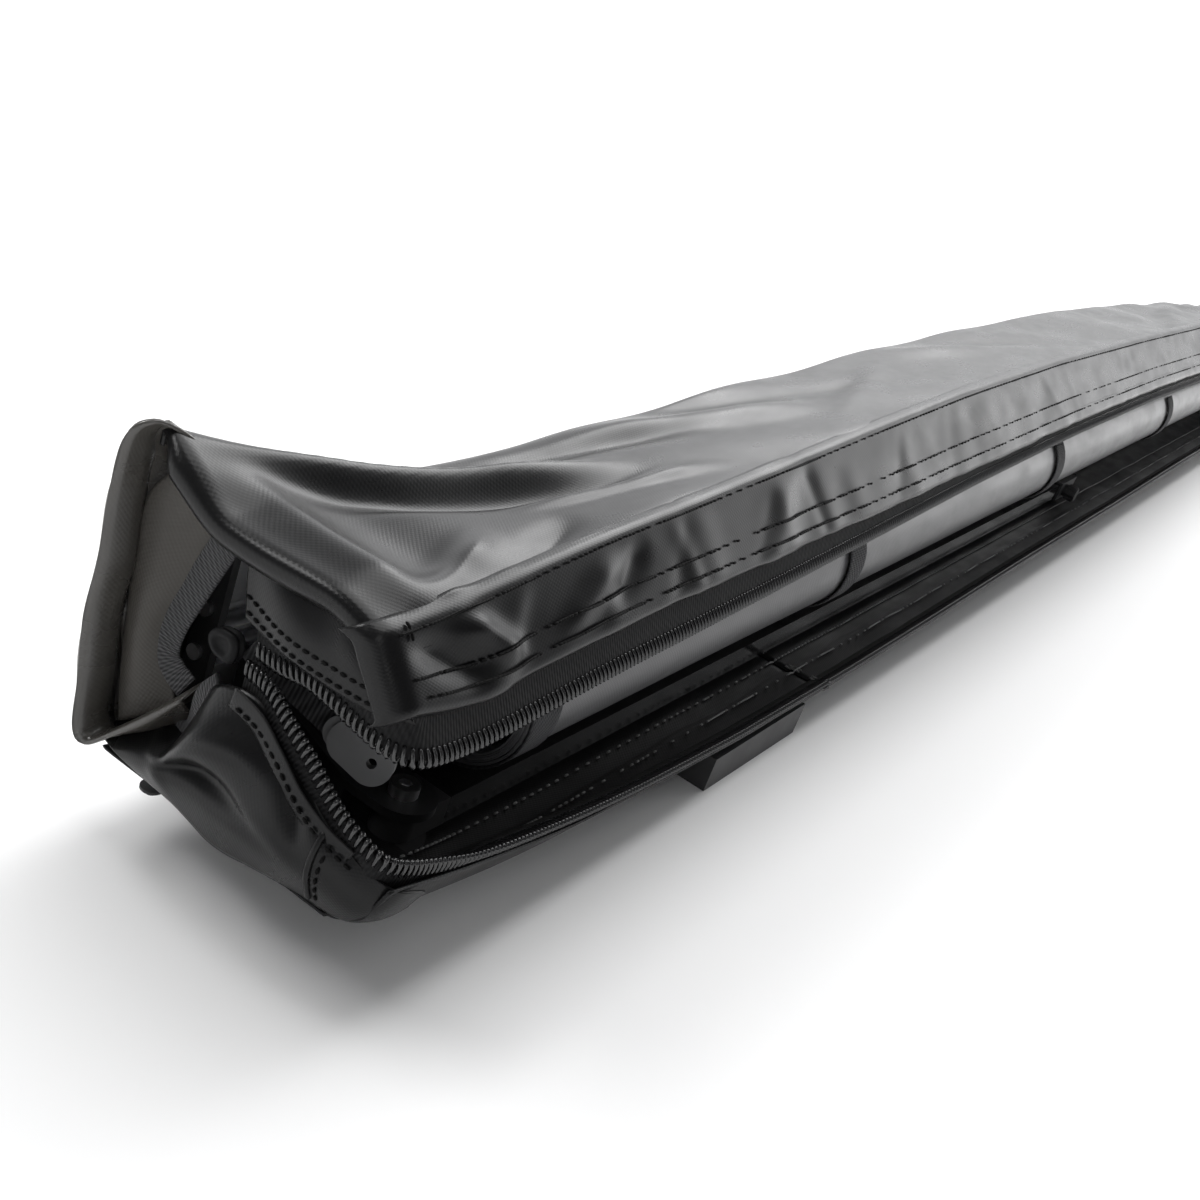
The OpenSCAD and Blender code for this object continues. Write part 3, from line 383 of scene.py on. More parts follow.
class Finish(Graph):
    """A material with one Principled shader. Constants go straight onto its sockets."""

    def __init__(self, name, **constants):
        self.material = bpy.data.materials.new(name)
        self.material.use_nodes = True
        super().__init__(self.material.node_tree)
        self.shader = self.tree.nodes["Principled BSDF"]
        for socket, value in constants.items():
            self.set(socket.replace("_", " "), value)

    def set(self, socket, value):
        """Gives one of the shader's sockets a link or a constant."""
        place = self.shader.inputs[socket]
        if isinstance(value, Socket):
            self.tree.links.new(value.link, place)
        else:
            place.default_value = (*value, 1) if place.type == "RGBA" else value

    def cloth_uv(self):
        """The two directions along the piece's own cloth, in metres."""
        both = self.node("ShaderNodeUVMap", {"uv_map": "UVMap"})
        split = self.node("ShaderNodeSeparateXYZ", None, {0: both})
        return split, Socket(self, split.link.node.outputs[1])

    def depth_and_length(self):
        """Places along the object's Y and X, in metres."""
        split = self.node("ShaderNodeSeparateXYZ", None, {0: self.place()})
        return Socket(self, split.link.node.outputs[1]), split

    def place(self, scale=(1, 1, 1)):
        """Object coordinates, stretched."""
        raw = self.node("ShaderNodeTexCoord", out=3)
        return self.node("ShaderNodeMapping", None, {"Vector": raw, "Scale": scale})

    def noise(self, scale, detail=3.0, stretch=(1, 1, 1)):
        """Cloudy values from 0 to 1 over the object."""
        return self.node("ShaderNodeTexNoise", None,
                         {"Vector": self.place(stretch), "Scale": scale, "Detail": detail})

    def tint(self, share, dark, light):
        """A colour between two, by share."""
        return self.node("ShaderNodeMix", {"data_type": "RGBA"},
                         {0: share, 6: (*dark, 1), 7: (*light, 1)}, out=2)

    def bump(self, height, depth, strength=1.0):
        """Relief of a given depth on the shader's normal."""
        self.set("Normal", self.node("ShaderNodeBump", None,
                                     {"Strength": strength, "Distance": depth, "Height": height}))
        return self.material


def weave(finish, pitch):
    """Plain weave: the product of a sine along each thread direction, from -1 to 1."""
    u, v = finish.cloth_uv()
    return (u * (TURN / pitch)).sine() * (v * (TURN / pitch)).sine()


print("shader helpers: Socket, Graph, Finish, weave")

# %% [markdown]
# The bag is polyester cloth with a shiny black coat. The coat fills the weave, so only a faint
# grid shows, and it catches light in long soft streaks. The streaks come from the reflection of
# the studio, so the colour stays nearly black and the roughness varies a little where hands rub.

# %% Cloth finishes
def coated_cloth(name, dark, light, rough_low, rough_high, grid, shine):
    """Coated cloth: a faint grid of threads, small slack wrinkles and rubbed patches."""
    f = Finish(name, Specular_IOR_Level=shine)
    patches = f.noise(14, 4)
    f.set("Base Color", f.tint(patches, dark, light))
    rubbed = f.noise(55, 5, (0.5, 1, 1)).over(0.35, 0.7)
    f.set("Roughness", rubbed * (rough_high - rough_low) + rough_low)
    relief = weave(f, 2.2 * MM) * grid + f.noise(90, 3, (0.6, 1, 1)) * 0.3
    relief += f.noise(26, 2, (0.4, 1, 1)) * 0.8
    return f.bump(relief, 0.3 * MM, 0.5)


def woven_band(name, dark, light, rib, slant, rough, sewn=True):
    """Webbing and tape: ribs across the length, broken by a slanted twill line. The ribs follow the piece's
    own cloth, or the object's depth on a piece that isn't sewn."""
    f = Finish(name, Roughness=rough, Specular_IOR_Level=0.25)
    u, v = f.cloth_uv() if sewn else f.depth_and_length()
    ribs = (u * (TURN / (rib * MM))).sine()
    twill = ((u + v * slant) * (TURN / (2.5 * rib * MM))).sine()
    f.set("Base Color", f.tint((ribs * 0.3 + twill * 0.2 + 0.5).over(0, 1), dark, light))
    return f.bump(ribs * 0.6 + twill * 0.5 + f.noise(300, 2) * 0.6, 0.3 * MM, 0.8)


COATED = {  # dark and light colour, least and most roughness, depth of the weave, shine
    "bag_cloth": ((0.004, 0.004, 0.0043), (0.007, 0.007, 0.0074), 0.27, 0.34, 0.10, 0.24),
    "sole_cloth": ((0.008, 0.008, 0.0084), (0.012, 0.012, 0.0126), 0.36, 0.46, 0.2, 0.15),
    "hood_cloth": ((0.038, 0.036, 0.032), (0.072, 0.067, 0.060), 0.26, 0.36, 0.1, 0.7),
    "panel_cloth": ((0.042, 0.039, 0.035), (0.070, 0.065, 0.058), 0.45, 0.6, 0.3, 0.24),
    "canopy_cloth": ((0.077, 0.077, 0.080), (0.096, 0.096, 0.099), 0.30, 0.38, 0.2, 0.4),
}
WOVEN = {  # dark and light colour, rib in millimetres, slant of the twill, roughness, sewn or not
    "binding": ((0.019, 0.019, 0.020), (0.080, 0.080, 0.083), 1.3, 0.7, 0.72),
    "zip_tape": ((0.004, 0.004, 0.0044), (0.012, 0.012, 0.0126), 1.7, 1.0, 0.8),
    "webbing": ((0.016, 0.016, 0.0175), (0.048, 0.048, 0.051), 1.5, 1.0, 0.72),
    "pull_webbing": ((0.010, 0.010, 0.011), (0.050, 0.050, 0.052), 1.6, 1.0, 0.7, False),
}
FINISHES = {name: coated_cloth(name, *numbers) for name, numbers in COATED.items()}
FINISHES |= {name: woven_band(name, *numbers) for name, numbers in WOVEN.items()}
print("cloth finishes:", ", ".join(FINISHES))

# %% [markdown]
# Hard parts need their own marks of making: an extruded rail has fine lines along its length, powder
# coat has an orange peel, and moulded plastic has an even grain. Wear shows as rougher or barer spots.

# %% Hard finishes
def drawn_metal(name, color, rough, scuff):
    """Extruded or drawn metal: fine lines along the length and a few dull scuffs."""
    f = Finish(name, Base_Color=color, Metallic=1.0)
    lines = f.noise(900, 2, (0.01, 1, 1))
    scuffs = f.noise(40, 5, (0.4, 1, 1)).over(0.55, 0.75)
    f.set("Roughness", lines * 0.12 + scuffs * scuff + rough)
    return f.bump(lines, 0.04 * MM, 0.3)


def grained(name, dark, light, rough, grain, depth, shine):
    """Moulded plastic, rubber and paint: an even grain with slightly uneven colour and gloss."""
    f = Finish(name, Specular_IOR_Level=shine)
    cloud = f.noise(60, 4)
    f.set("Base Color", f.tint(cloud, dark, light))
    f.set("Roughness", cloud * 0.16 + rough)
    return f.bump(f.noise(grain, 3), depth * MM, 0.5)


DRAWN = {  # colour, roughness, and how much rougher the scuffs are
    "rail_metal": ((0.62, 0.63, 0.65), 0.30, 0.2),
    "tube_metal": ((0.50, 0.51, 0.53), 0.12, 0.15),
    "inner_tube_metal": ((0.70, 0.71, 0.73), 0.14, 0.12),
    "steel": ((0.55, 0.55, 0.56), 0.28, 0.2),
}
GRAINED = {  # dark and light colour, roughness, scale of the grain, its depth in millimetres, shine
    "arm_paint": ((0.009, 0.009, 0.0095), (0.015, 0.015, 0.016), 0.08, 300, 0.02, 0.8),
    "moulding": ((0.026, 0.026, 0.027), (0.042, 0.042, 0.044), 0.42, 700, 0.06, 0.4),
    "bracket_paint": ((0.018, 0.018, 0.019), (0.028, 0.028, 0.029), 0.38, 420, 0.1, 0.4),
    "zip_coil": ((0.007, 0.007, 0.0075), (0.014, 0.014, 0.015), 0.12, 900, 0.01, 0.7),
    "zip_slider": ((0.005, 0.005, 0.0055), (0.009, 0.009, 0.0095), 0.42, 500, 0.05, 0.1),
    "pull_tab": ((0.150, 0.151, 0.153), (0.190, 0.191, 0.193), 0.5, 800, 0.06, 0.2),
    "bead": ((0.62, 0.62, 0.60), (0.72, 0.72, 0.70), 0.45, 600, 0.04, 0.4),
    "foot_rubber": ((0.018, 0.018, 0.018), (0.034, 0.034, 0.034), 0.62, 500, 0.1, 0.4),
    "thread": ((0.003, 0.003, 0.003), (0.007, 0.007, 0.007), 0.6, 900, 0.03, 0.08),
    "inner_thread": ((0.16, 0.16, 0.16), (0.26, 0.26, 0.26), 0.5, 900, 0.03, 0.4),
}
FINISHES |= {name: drawn_metal(name, *numbers) for name, numbers in DRAWN.items()}
FINISHES |= {name: grained(name, *numbers) for name, numbers in GRAINED.items()}


def dress(piece, finish, body="rail", replaced=()):
    """Gives a new piece its finish, its body and the nodes that it stands for. Threads have no slot of
    their own, and the sole and the hood are cut from the bag's cloth."""
    piece.data.materials.clear()
    piece.data.materials.append(FINISHES[finish])
    if "thread" not in finish:
        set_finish(piece, finish.replace("sole", "bag").replace("hood", "bag"))
    if replaced:
        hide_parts(*replaced)
    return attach(piece, body)


def cloth_area(grid):
    """Area of a grid, from the diagonals of its cells."""
    a = grid[1:, 1:] - grid[:-1, :-1]
    b = grid[1:, :-1] - grid[:-1, 1:]
    return float(np.linalg.norm(np.cross(a, b), axis=2).sum() / 2)


def sew(name, grid, finish, replaced=(), body="rail", thick=CLOTH):
    """Makes and dresses a sheet, and works out its area, which is not passed on."""
    piece = dress(surface(name, grid, thick), finish, body, replaced)
    area = cloth_area(grid)
    return piece


print("hard finishes:", ", ".join([*DRAWN, *GRAINED]))

# %% [markdown]
# ## The top of the bag
# One piece of cloth runs from the rail up over a ridge and forward to the front seam. It is slack
# near the ends, where it is gathered, and folds run away from the corners. A cloth simulation would
# give folds of its own choosing; placing the main folds one by one keeps them where the photograph has
# them, and chance ripples fill in the rest.

# %% Top cloth
TOP_FOLDS = [((-0.02, 0.000), (0.26, 0.052), 9, 8), ((0.02, 0.020), (0.26, 0.074), -6, 9),
             ((0.12, 0.060), (0.30, 0.082), 3.5, 5), ((0.00, 0.125), (0.11, 0.070), 5, 7),
             ((0.04, 0.125), (0.16, 0.080), -4, 8), ((0.14, 0.010), (0.36, 0.040), -4, 9),
             ((0.22, 0.000), (0.48, 0.060), 5, 13), ((0.30, 0.000), (0.62, 0.060), -4, 14),
             ((0.40, 0.090), (0.66, 0.020), 3, 11), ((0.62, 0.010), (0.95, 0.075), 5, 15),
             ((0.72, 0.020), (1.05, 0.085), -4, 16)]


def top_folds(x, t):
    """Height of the folds on the top: t is the distance across from the ridge to the seam. Besides ripples
    and creases, the cloth sinks at the end, stands up behind its rolled edge and sinks again."""
    d = END - np.abs(x)
    past_ridge = smooth((t - 0.01) / 0.04)
    h = ripples(x, 2 * t, 3, 9, 0.16, 1.1 * MM) + creases(d, t, TOP_FOLDS)
    h -= 9 * MM * bell(d, 0.04) * smooth((t - 0.010) / 0.035) * smooth((0.118 - t) / 0.085)
    h += 6 * MM * bell(d - 24 * MM, 12 * MM) * past_ridge
    h -= 4 * MM * bell(d - 60 * MM, 20 * MM) * past_ridge
    return h


seam = line(BAG_X, along_bag(BAG_X, SEAM_Y), along_bag(BAG_X, SEAM_Z))
lip = line(BAG_X, along_bag(BAG_X, LIP_Y), along_bag(BAG_X, LIP_Z))
ridge = line(BAG_X, along_bag(BAG_X, RIDGE_Y), along_bag(BAG_X, RIDGE_Z))
past_rail = inside(BAG_X, 30 * MM, 18 * MM)[:, None]
bead_line = line(BAG_X, GROOVE_Y, RAIL_HIGH.z - 5.5 * MM)
root = bead_line * past_rail + (ridge - np.array([0, 0, 7]) * MM) * (1 - past_rail)
BACK_ROWS = 10
top_grid = loft([root, ridge, seam, seam + (lip - seam) * 0.3], [BACK_ROWS, 46, 6], 4)
across = np.linalg.norm(top_grid - ridge[:, None], axis=2) * np.sign(ridge[:, None, 1] - top_grid[..., 1])
hold = smooth((across + 0.012) / 0.018) * smooth((0.118 - across) / 0.03)
on_rail = 1 - smooth((np.arange(top_grid.shape[1]) - 2) / (BACK_ROWS - 2))
hold *= 1 - past_rail * on_rail
top_grid += normals(top_grid) * (top_folds(BAG_X[:, None] + 0 * across, across) * hold)[..., None]


def curl_ends(grid, radius, turn, count=8):
    """Rolls both ends of a sheet under: past the end, points go round a small circle, out by radius * sin
    and down by radius * (1 - cos). The radius is given for each column of the sheet."""
    a = np.linspace(0, turn, count + 1)[1:, None, None]
    up = normals(grid)
    out = np.array([1.0, 0, 0])
    radius = radius[:, None]
    first = grid[:1] - radius * (np.sin(a) * out + (1 - np.cos(a)) * up[:1])
    last = grid[-1:] + radius * (np.sin(a) * out - (1 - np.cos(a)) * up[-1:])
    return np.concatenate([first[::-1], grid, last])


top_sheet = curl_ends(top_grid, ROLL_UNDER * (0.15 + 0.85 * smooth((across[0] + 0.002) / 0.02)), 2.7)
sew("bag_top_cloth", top_sheet, "bag_cloth", ["bag_top"])

# %% [markdown]
# ## The front band
# A second strip of cloth laps over the top along the front seam and comes down to the zip, where its
# edge is folded under. It is a separate piece, a cloth's thickness further out, so the lap is real.

# %% Front band
BAND_FOLDS = [((0.030, -0.005), (0.075, 0.034), 3.2, 6), ((0.005, 0.000), (0.055, 0.036), -3, 7),
              ((0.090, 0.034), (0.150, 0.004), 2.4, 7), ((0.130, 0.034), (0.170, 0.004), -2, 7)]


def band_puckers(x, t, count=110):
    """Small puckers across the band: bell curves along X at chance places, widths, heights and slants."""
    chance = np.random.default_rng(11)
    middle = chance.uniform(-END, END, count)
    width = chance.uniform(6, 22, count) * MM
    height = chance.uniform(-0.8, 0.9, count) * MM
    slant = chance.uniform(-0.9, 0.9, count)
    return (bell(x[..., None] - middle + slant * t[..., None], width) * height).sum(-1)


lap = unit(ridge - seam) * 7 * MM
out = np.array([0, -0.8, 0.6]) * 2.2 * MM
hem_deep = inside(BAG_X, 25 * MM, 40 * MM)[:, None]
inner = lip + np.array([0, 0.6, -1.6]) * MM + np.array([0, 4.4, 10.6]) * MM * hem_deep
band_grid = loft([seam + lap + out, seam + out, lip + out, lip + [0, 0.6 * MM, -1.6 * MM], inner],
                 [4, 22, 2, 6], 2)
drop = np.linalg.norm(band_grid - seam[:, None], axis=2)
band_hold = smooth(drop / 0.012) * np.concatenate([np.ones(24), np.linspace(1, 0, 11)])
from_end = END - np.abs(BAG_X[:, None]) + 0 * drop
puckers = band_puckers(BAG_X[:, None] + 0 * drop, drop)
puckers += creases(from_end, drop, BAND_FOLDS) * smooth((0.036 - drop) / 0.014)
band_grid += normals(band_grid) * (puckers * band_hold)[..., None]


def turn_corner(grid, outward, radius, reach):
    """Carries both ends of a band round the corner of the bag: a quarter circle from the outward direction
    to the end's own, then straight on, into the end, for a short reach."""
    a = np.linspace(0, np.pi / 2, 8)[1:, None, None]
    s = np.linspace(0, reach, 5)[1:, None, None]
    ends = []
    for edge, sign in ((grid[:1], -1), (grid[-1:], 1)):
        past = np.array([sign, 0, 0])
        arc = edge - outward * radius * (1 - np.cos(a)) + past * radius * np.sin(a)
        ends.append(np.concatenate([arc, arc[-1:] - outward * s]))
    return np.concatenate([ends[0][::-1], grid, ends[1]])


band_sheet = turn_corner(band_grid, unit(out), ROLL_UNDER + 3 * MM, 3 * MM)
sew("front_band", band_sheet, "bag_cloth")

# %% [markdown]
# ## Stitches
# Rows of stitches hold the lap and the hem. Each stitch is a short bead of thread with its ends
# sunk in the cloth. Hundreds of them follow lines that are picked off the finished cloth, so they
# sit on its folds, and all rows of one seam are a single mesh of a few faces each.

# %% Stitches
RINGS = 4
ROUND = 5
STITCH = RINGS * ROUND


def stitch_mesh(name, rows, pitch=4.2 * MM, long=3.1 * MM, wide=0.65 * MM):
    """Beads of thread along lines: rows holds pairs of a line and the direction out of the cloth. Each bead
    has a few rings of points and is narrow at both ends."""
    reach = np.array([-1, -0.55, 0.55, 1]) * long / 2
    swell = np.array([0.35, 1, 1, 0.35])
    turn = np.linspace(0, TURN, ROUND, endpoint=False)
    points, faces, made = [], [], 0
    for path, outward in rows:
        count = max(2, int(length_of(path) / pitch))
        place = evenly(np.hstack([path, np.broadcast_to(outward, path.shape)]), 2 * count + 1)
        middle, up = place[1::2, :3], unit(place[1::2, 3:])
        ahead = unit(place[2::2, :3] - place[:-1:2, :3])
        side = unit(np.cross(ahead, up))
        shape = (middle[:, None, None] + ahead[:, None, None] * reach[:, None, None]
                 + up[:, None, None] * (swell * 0.5 - 0.1)[:, None, None] * wide
                 + wide * swell[:, None, None] * (side[:, None, None] * np.cos(turn)[:, None]
                                                  + up[:, None, None] * np.sin(turn)[:, None]))
        points.append(shape.reshape(-1, 3))
        k, r, s = np.meshgrid(np.arange(count), np.arange(RINGS - 1), np.arange(ROUND), indexing="ij")
        a = made + k * STITCH + r * ROUND + s
        b = made + k * STITCH + r * ROUND + (s + 1) % ROUND
        faces.append(np.stack([a, a + ROUND, b + ROUND, b], -1).reshape(-1, 4))
        made += STITCH * count
    first = np.arange(0, made, STITCH)[:, None] + np.arange(ROUND)
    last = first[:, ::-1] + STITCH - ROUND
    return make_mesh(name, np.concatenate(points), [np.concatenate(faces), first, last])


def row_of(grid, column, lift=1.0):
    """A line on a cloth at a given column, with its outward directions, lifted by a share of the cloth."""
    low = int(column)
    share = column - low
    n = normals(grid)[:, low]
    return grid[:, low] * (1 - share) + grid[:, low + 1] * share + n * CLOTH * lift, n


rows = [row_of(band_grid, c) for c in (5.5, 17.5, 22.5)]
band_out = normals(band_grid)
rows += [(band_grid[k, 3:12] + band_out[k, 3:12] * CLOTH, band_out[k, 3:12]) for k in (2, -3)]
band_stitches = stitch_mesh("band_stitches", rows)
dress(band_stitches, "thread")
print("stitches on the band:", len(band_stitches.data.vertices) // STITCH)

# %% [markdown]
# ## The ends of the bag
# Each end is a nest of loose cloth: a hood round the back corner, a dull inner panel with a woven
# binding on its free edge, an upper flap under the crest and a lower gusset below the zip. Their
# outlines are lists of a few points, given as distance inside the bag end, depth and height.

# %% End outlines
def end_line(points, side, count):
    """A smooth line at one end of the bag, from points in millimetres: inside the end, Y and Z."""
    p = np.array(points, float) * MM
    return spline(np.column_stack([side * (END - p[:, 0]), p[:, 1], p[:, 2]]), count)


def between(first, second, count):
    """A ruled grid from one line to another."""
    share = np.linspace(0, 1, count)[:, None, None]
    return first * (1 - share) + second * share


def shares(grid):
    """How far each point of a grid lies along its rows and along its columns, from 0 to 1."""
    rows, cols = grid.shape[:2]
    return np.meshgrid(np.linspace(0, 1, rows), np.linspace(0, 1, cols), indexing="ij")


HOOD_RIM = [(13, 63, 165), (6, 69, 170), (-1, 75, 172), (-6, 81, 165), (-5, 84, 142), (-5, 83, 115),
            (-5, 84, 88), (-5, 80, 62), (-6, 76, 41), (-5, 70, 36), (-3, 60, 45), (0, 48, 58), (5, 36, 72)]
HOOD_INNER = [(54, 62, 138), (54, 66, 140), (54, 71, 139), (54, 72, 134), (54, 72, 125), (54, 72, 105),
              (54, 72, 85), (54, 72, 60), (54, 72, 30), (54, 68, 20.6), (54, 62, 20.6), (54, 56, 20.6),
              (54, 50, 20.6)]
PANEL_BACK = [(8, 60, 164), (9, 77, 142), (9, 80, 118), (9, 78, 95), (9, 74, 68), (9, 68, 44)]
PANEL_EDGE = [(15, 38, 154), (15, 46, 132), (14, 53, 112), (13, 57, 95), (13, 55, 80), (14, 46, 60)]
BINDING_LINE = [(8, 29, 149), (10, 37, 143), (12, 43, 131), (12, 49, 114), (11, 54, 97), (11, 55, 84),
                (12, 50, 77), (13, 43, 73)]
NOTCH_BINDING = [(7, 24, 88), (6, 29, 80), (6, 30, 70), (9, 34, 60), (12, 42, 54)]
FLAP_TOP = [(6, -40, 144), (5, -24, 146), (7, -4, 146), (9, 14, 147), (11, 30, 148)]
FLAP_LOW = [(5, -62, 123), (0, -48, 121), (-1, -28, 120), (0, -6, 120), (3, 16, 122)]
GUSSET_TOP = [(20, -78.5, 55), (12, -78, 58), (5, -75.5, 60), (1, -66, 63), (0, -55, 68), (0, -40, 75),
              (0, -27, 85), (1, -14, 91), (2, 0, 96), (3, 12, 95), (5, 22, 89), (8, 28, 76), (10, 32, 62),
              (12, 42, 56), (13, 56, 50), (11, 70, 42)]
GUSSET_LOW = [(18, -75, 47), (12, -73.5, 45), (6, -70, 43), (2, -63, 40), (0, -53, 38), (0, -40, 36),
              (0, -28, 35), (0, -16, 34), (0, -5, 32), (0, 5, 31), (0, 15, 32), (0, 26, 34), (0, 37, 36),
              (0, 48, 38), (1, 60, 38), (4, 70, 36)]
STRIP_LINE = [(-1, 10, 93), (-2, -4, 91), (-4, -17, 85), (-5, -31, 76), (-4, -45, 69), (-2, -58, 65)]
print("outlines of the end: hood, panel, bindings, flap, gusset, strip")

# %% [markdown]
# The hood and the panel come first, because everything else lies in front of them. The hood's rim is
# turned inwards as a hem, so its grid runs from the hem over the rim and back to the rail.

# %% Hoods and panels
RIM_POINTS = 120
HOOD_HEM = [(3.0, -17), (6.5, -11), (6.0, -7), (3.4, -2), (1.6, 1.6)]

for side, sign in SIDES.items():
    rim = end_line(HOOD_RIM, sign, RIM_POINTS)
    inner_edge = end_line(HOOD_INNER, sign, RIM_POINTS)
    centre = np.array([sign * END, 40 * MM, 100 * MM])
    inward = unit((centre - rim) * [0, 1, 1])
    step = np.array([sign, 0, 0])
    grown = smooth((np.linspace(0, 1, RIM_POINTS) - 0.05) / 0.12)[:, None]
    turned = inward * MM * grown
    outward = step * MM * (0.1 + 0.9 * grown)
    hem_rows = np.stack([rim + turned * t + outward * o for t, o in HOOD_HEM])
    hood_grid = np.concatenate([hem_rows, between(rim, inner_edge, 26)])
    s, v = shares(hood_grid)
    wrinkle = ripples(0.3 * v, 0.06 * s, 21 + sign, 7, 0.05, 1.0 * MM)
    wrinkle[:len(HOOD_HEM)] = 0
    hood_grid -= inward * wrinkle[..., None]
    sew(f"hood_cloth_{side}", hood_grid, "hood_cloth", [f"hood_{side}"])

    back_edge = end_line(PANEL_BACK, sign, 60)
    free_edge = end_line(PANEL_EDGE, sign, 60)
    panel_grid = between(back_edge, free_edge, 24)
    s, v = shares(panel_grid)
    swell = 4 * np.sin(np.pi * s) * np.sin(np.pi * v) ** 0.5 + 0.8 * np.sin(7 * v + 5 * s)
    panel_grid[..., 0] += sign * swell * MM
    sew(f"end_panel_{side}", panel_grid, "panel_cloth",
        ["end_panels"] if side == "left" else ())

# %% [markdown]
# The binding is a narrow woven tape folded over the panel's edge. It is a ribbon: a flat rounded section
# swept along the edge, with ribs across it from its finish.

# %% Bindings
def ribbon(name, path, width, thick, up):
    """A flat tape with rounded edges along a path; up is the direction out of its face."""
    a = np.linspace(0, TURN, 16, endpoint=False)
    section = np.column_stack([width / 2 * np.sign(np.cos(a)) * np.abs(np.cos(a)) ** 0.35,
                               thick / 2 * np.sign(np.sin(a)) * np.abs(np.sin(a)) ** 0.8])
    return sweep(name, path, section, up)


for side, sign in SIDES.items():
    edge_tape = ribbon(f"edge_binding_{side}", end_line(BINDING_LINE, sign, 90), 13 * MM, 2.0 * MM,
                       np.array([sign, 0, 0]))
    dress(edge_tape, "binding", replaced=["end_bindings"] if side == "left" else ())
    notch_tape = ribbon(f"notch_binding_{side}", end_line(NOTCH_BINDING, sign, 50), 9 * MM, 2.0 * MM,
                        np.array([sign, 0.4, 0.3]))
    dress(notch_tape, "binding")
print("bindings:", 2 * len(SIDES))

# %% [markdown]
# The upper flap hangs under the crest of the top and its front edge meets the band at the corner. The
# gusset below the zip is fuller: it bulges outwards and creases where it is gathered at the notch.

# %% Flaps and gussets
for side, sign in SIDES.items():
    flap_grid = between(end_line(FLAP_TOP, sign, 70), end_line(FLAP_LOW, sign, 70), 22)
    s, v = shares(flap_grid)
    slack = 4 * np.sin(np.pi * s) * (1 - 0.6 * v) + 1.6 * np.sin(9 * v + 2) * (1 - s) * s * 3
    flap_grid[..., 0] += sign * MM * slack * smooth(v / 0.3)
    sew(f"end_flap_cloth_{side}", flap_grid, "bag_cloth", [f"end_flap_{side}"])
    outward = np.array([sign, 0, 0.0])
    flap_rows = [(flap_grid[k] + outward * 0.7 * MM, outward) for k in (15, 19)]
    dress(stitch_mesh(f"flap_stitches_{side}", flap_rows), "thread")

    gusset_grid = between(end_line(GUSSET_LOW, sign, 90), end_line(GUSSET_TOP, sign, 90), 36)
    s, v = shares(gusset_grid)
    bulge = 9 * np.sin(np.pi * s) * np.sin(np.pi * v) ** 0.6
    gathered = bell(v - 0.60, 0.14)
    bulge += 5 * bell(s - 0.66 + 0.5 * (v - 0.6), 0.12) * gathered
    bulge -= 6 * bell(s - 0.42 - 0.3 * (v - 0.6), 0.08) * gathered
    bulge -= 3 * bell(s - 0.75, 0.2) * bell(v - 0.25 - 0.1 * s, 0.04)
    bulge += 2.5 * bell(v - 0.72 - 0.15 * s, 0.03) * s
    bulge += 1.2 * np.sin(16 * v + 4 * s)
    gusset_grid[..., 0] += sign * bulge * MM
    sew(f"gusset_cloth_{side}", gusset_grid, "bag_cloth",
        [f"end_gusset_{side}"])
    strip = end_line(STRIP_LINE, sign, 60)
    dress(ribbon(f"gusset_strip_{side}", strip, 9 * MM, 1.4 * MM, outward), "bag_cloth")
    seam_at = int(np.abs(gusset_grid[18, :, 1] + 46 * MM).argmin())
    piping = gusset_grid[4:-2, seam_at] + outward * 1.0 * MM
    dress(sweep(f"gusset_piping_{side}", piping, ring(2.6 * MM, 2.6 * MM), outward), "bag_cloth")
    beside = gusset_grid[4:-2, seam_at - 2] + outward * 0.8 * MM
    gusset_rows = [(strip + outward * 1.1 * MM - [0, 3 * MM, 2.4 * MM], outward), (beside, outward)]
    dress(stitch_mesh(f"gusset_stitches_{side}", gusset_rows), "thread")

# %% [markdown]
# ## The floor of the bag
# The floor runs forward from the rail under the arms and turns up into a soft lip that carries the lower
# half of the zip. Near the ends the lip stands up to the gusset, and there it has to drop when an arm swings
# out. So the floor is three pieces: two end pieces, each with a mesh of its own, and the middle.

# %% Floor cloth
def floor_rows(x):
    """Corner lines of the floor at places x, from the bead in the rail to the zip."""
    sole = along_bag(x, SOLE_Z)
    hem = along_bag(x, HEM_Z)
    on_rail = inside(x, 44 * MM, 10 * MM)
    back = sole + 1 * MM + (RAIL_LOW.z + 4.5 * MM - sole) * on_rail
    return [line(x, GROOVE_Y, back), line(x, GROOVE_Y - 1 * MM, sole), line(x, -0.02, sole),
            line(x, FRONT + 20 * MM, sole), line(x, FRONT + 7 * MM, sole + 0.3 * (hem - sole)),
            line(x, FRONT - 0.5 * MM, hem)]


SPLIT = END - 0.42
HEM_FLAT = float(along_bag(np.array([SPLIT]), HEM_Z)[0])
LAP_SEAM = 8 * MM
FLOOR_PARTS = {"left": np.linspace(-END, LAP_SEAM - SPLIT, 132), "middle": np.linspace(-SPLIT, SPLIT, 220),
               "right": np.linspace(SPLIT - LAP_SEAM, END, 132)}


def drop_with_arm(piece, part):
    """Gives a piece at one end a mesh of its own; the middle is left as it is."""
    if part != "middle":
        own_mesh(piece)


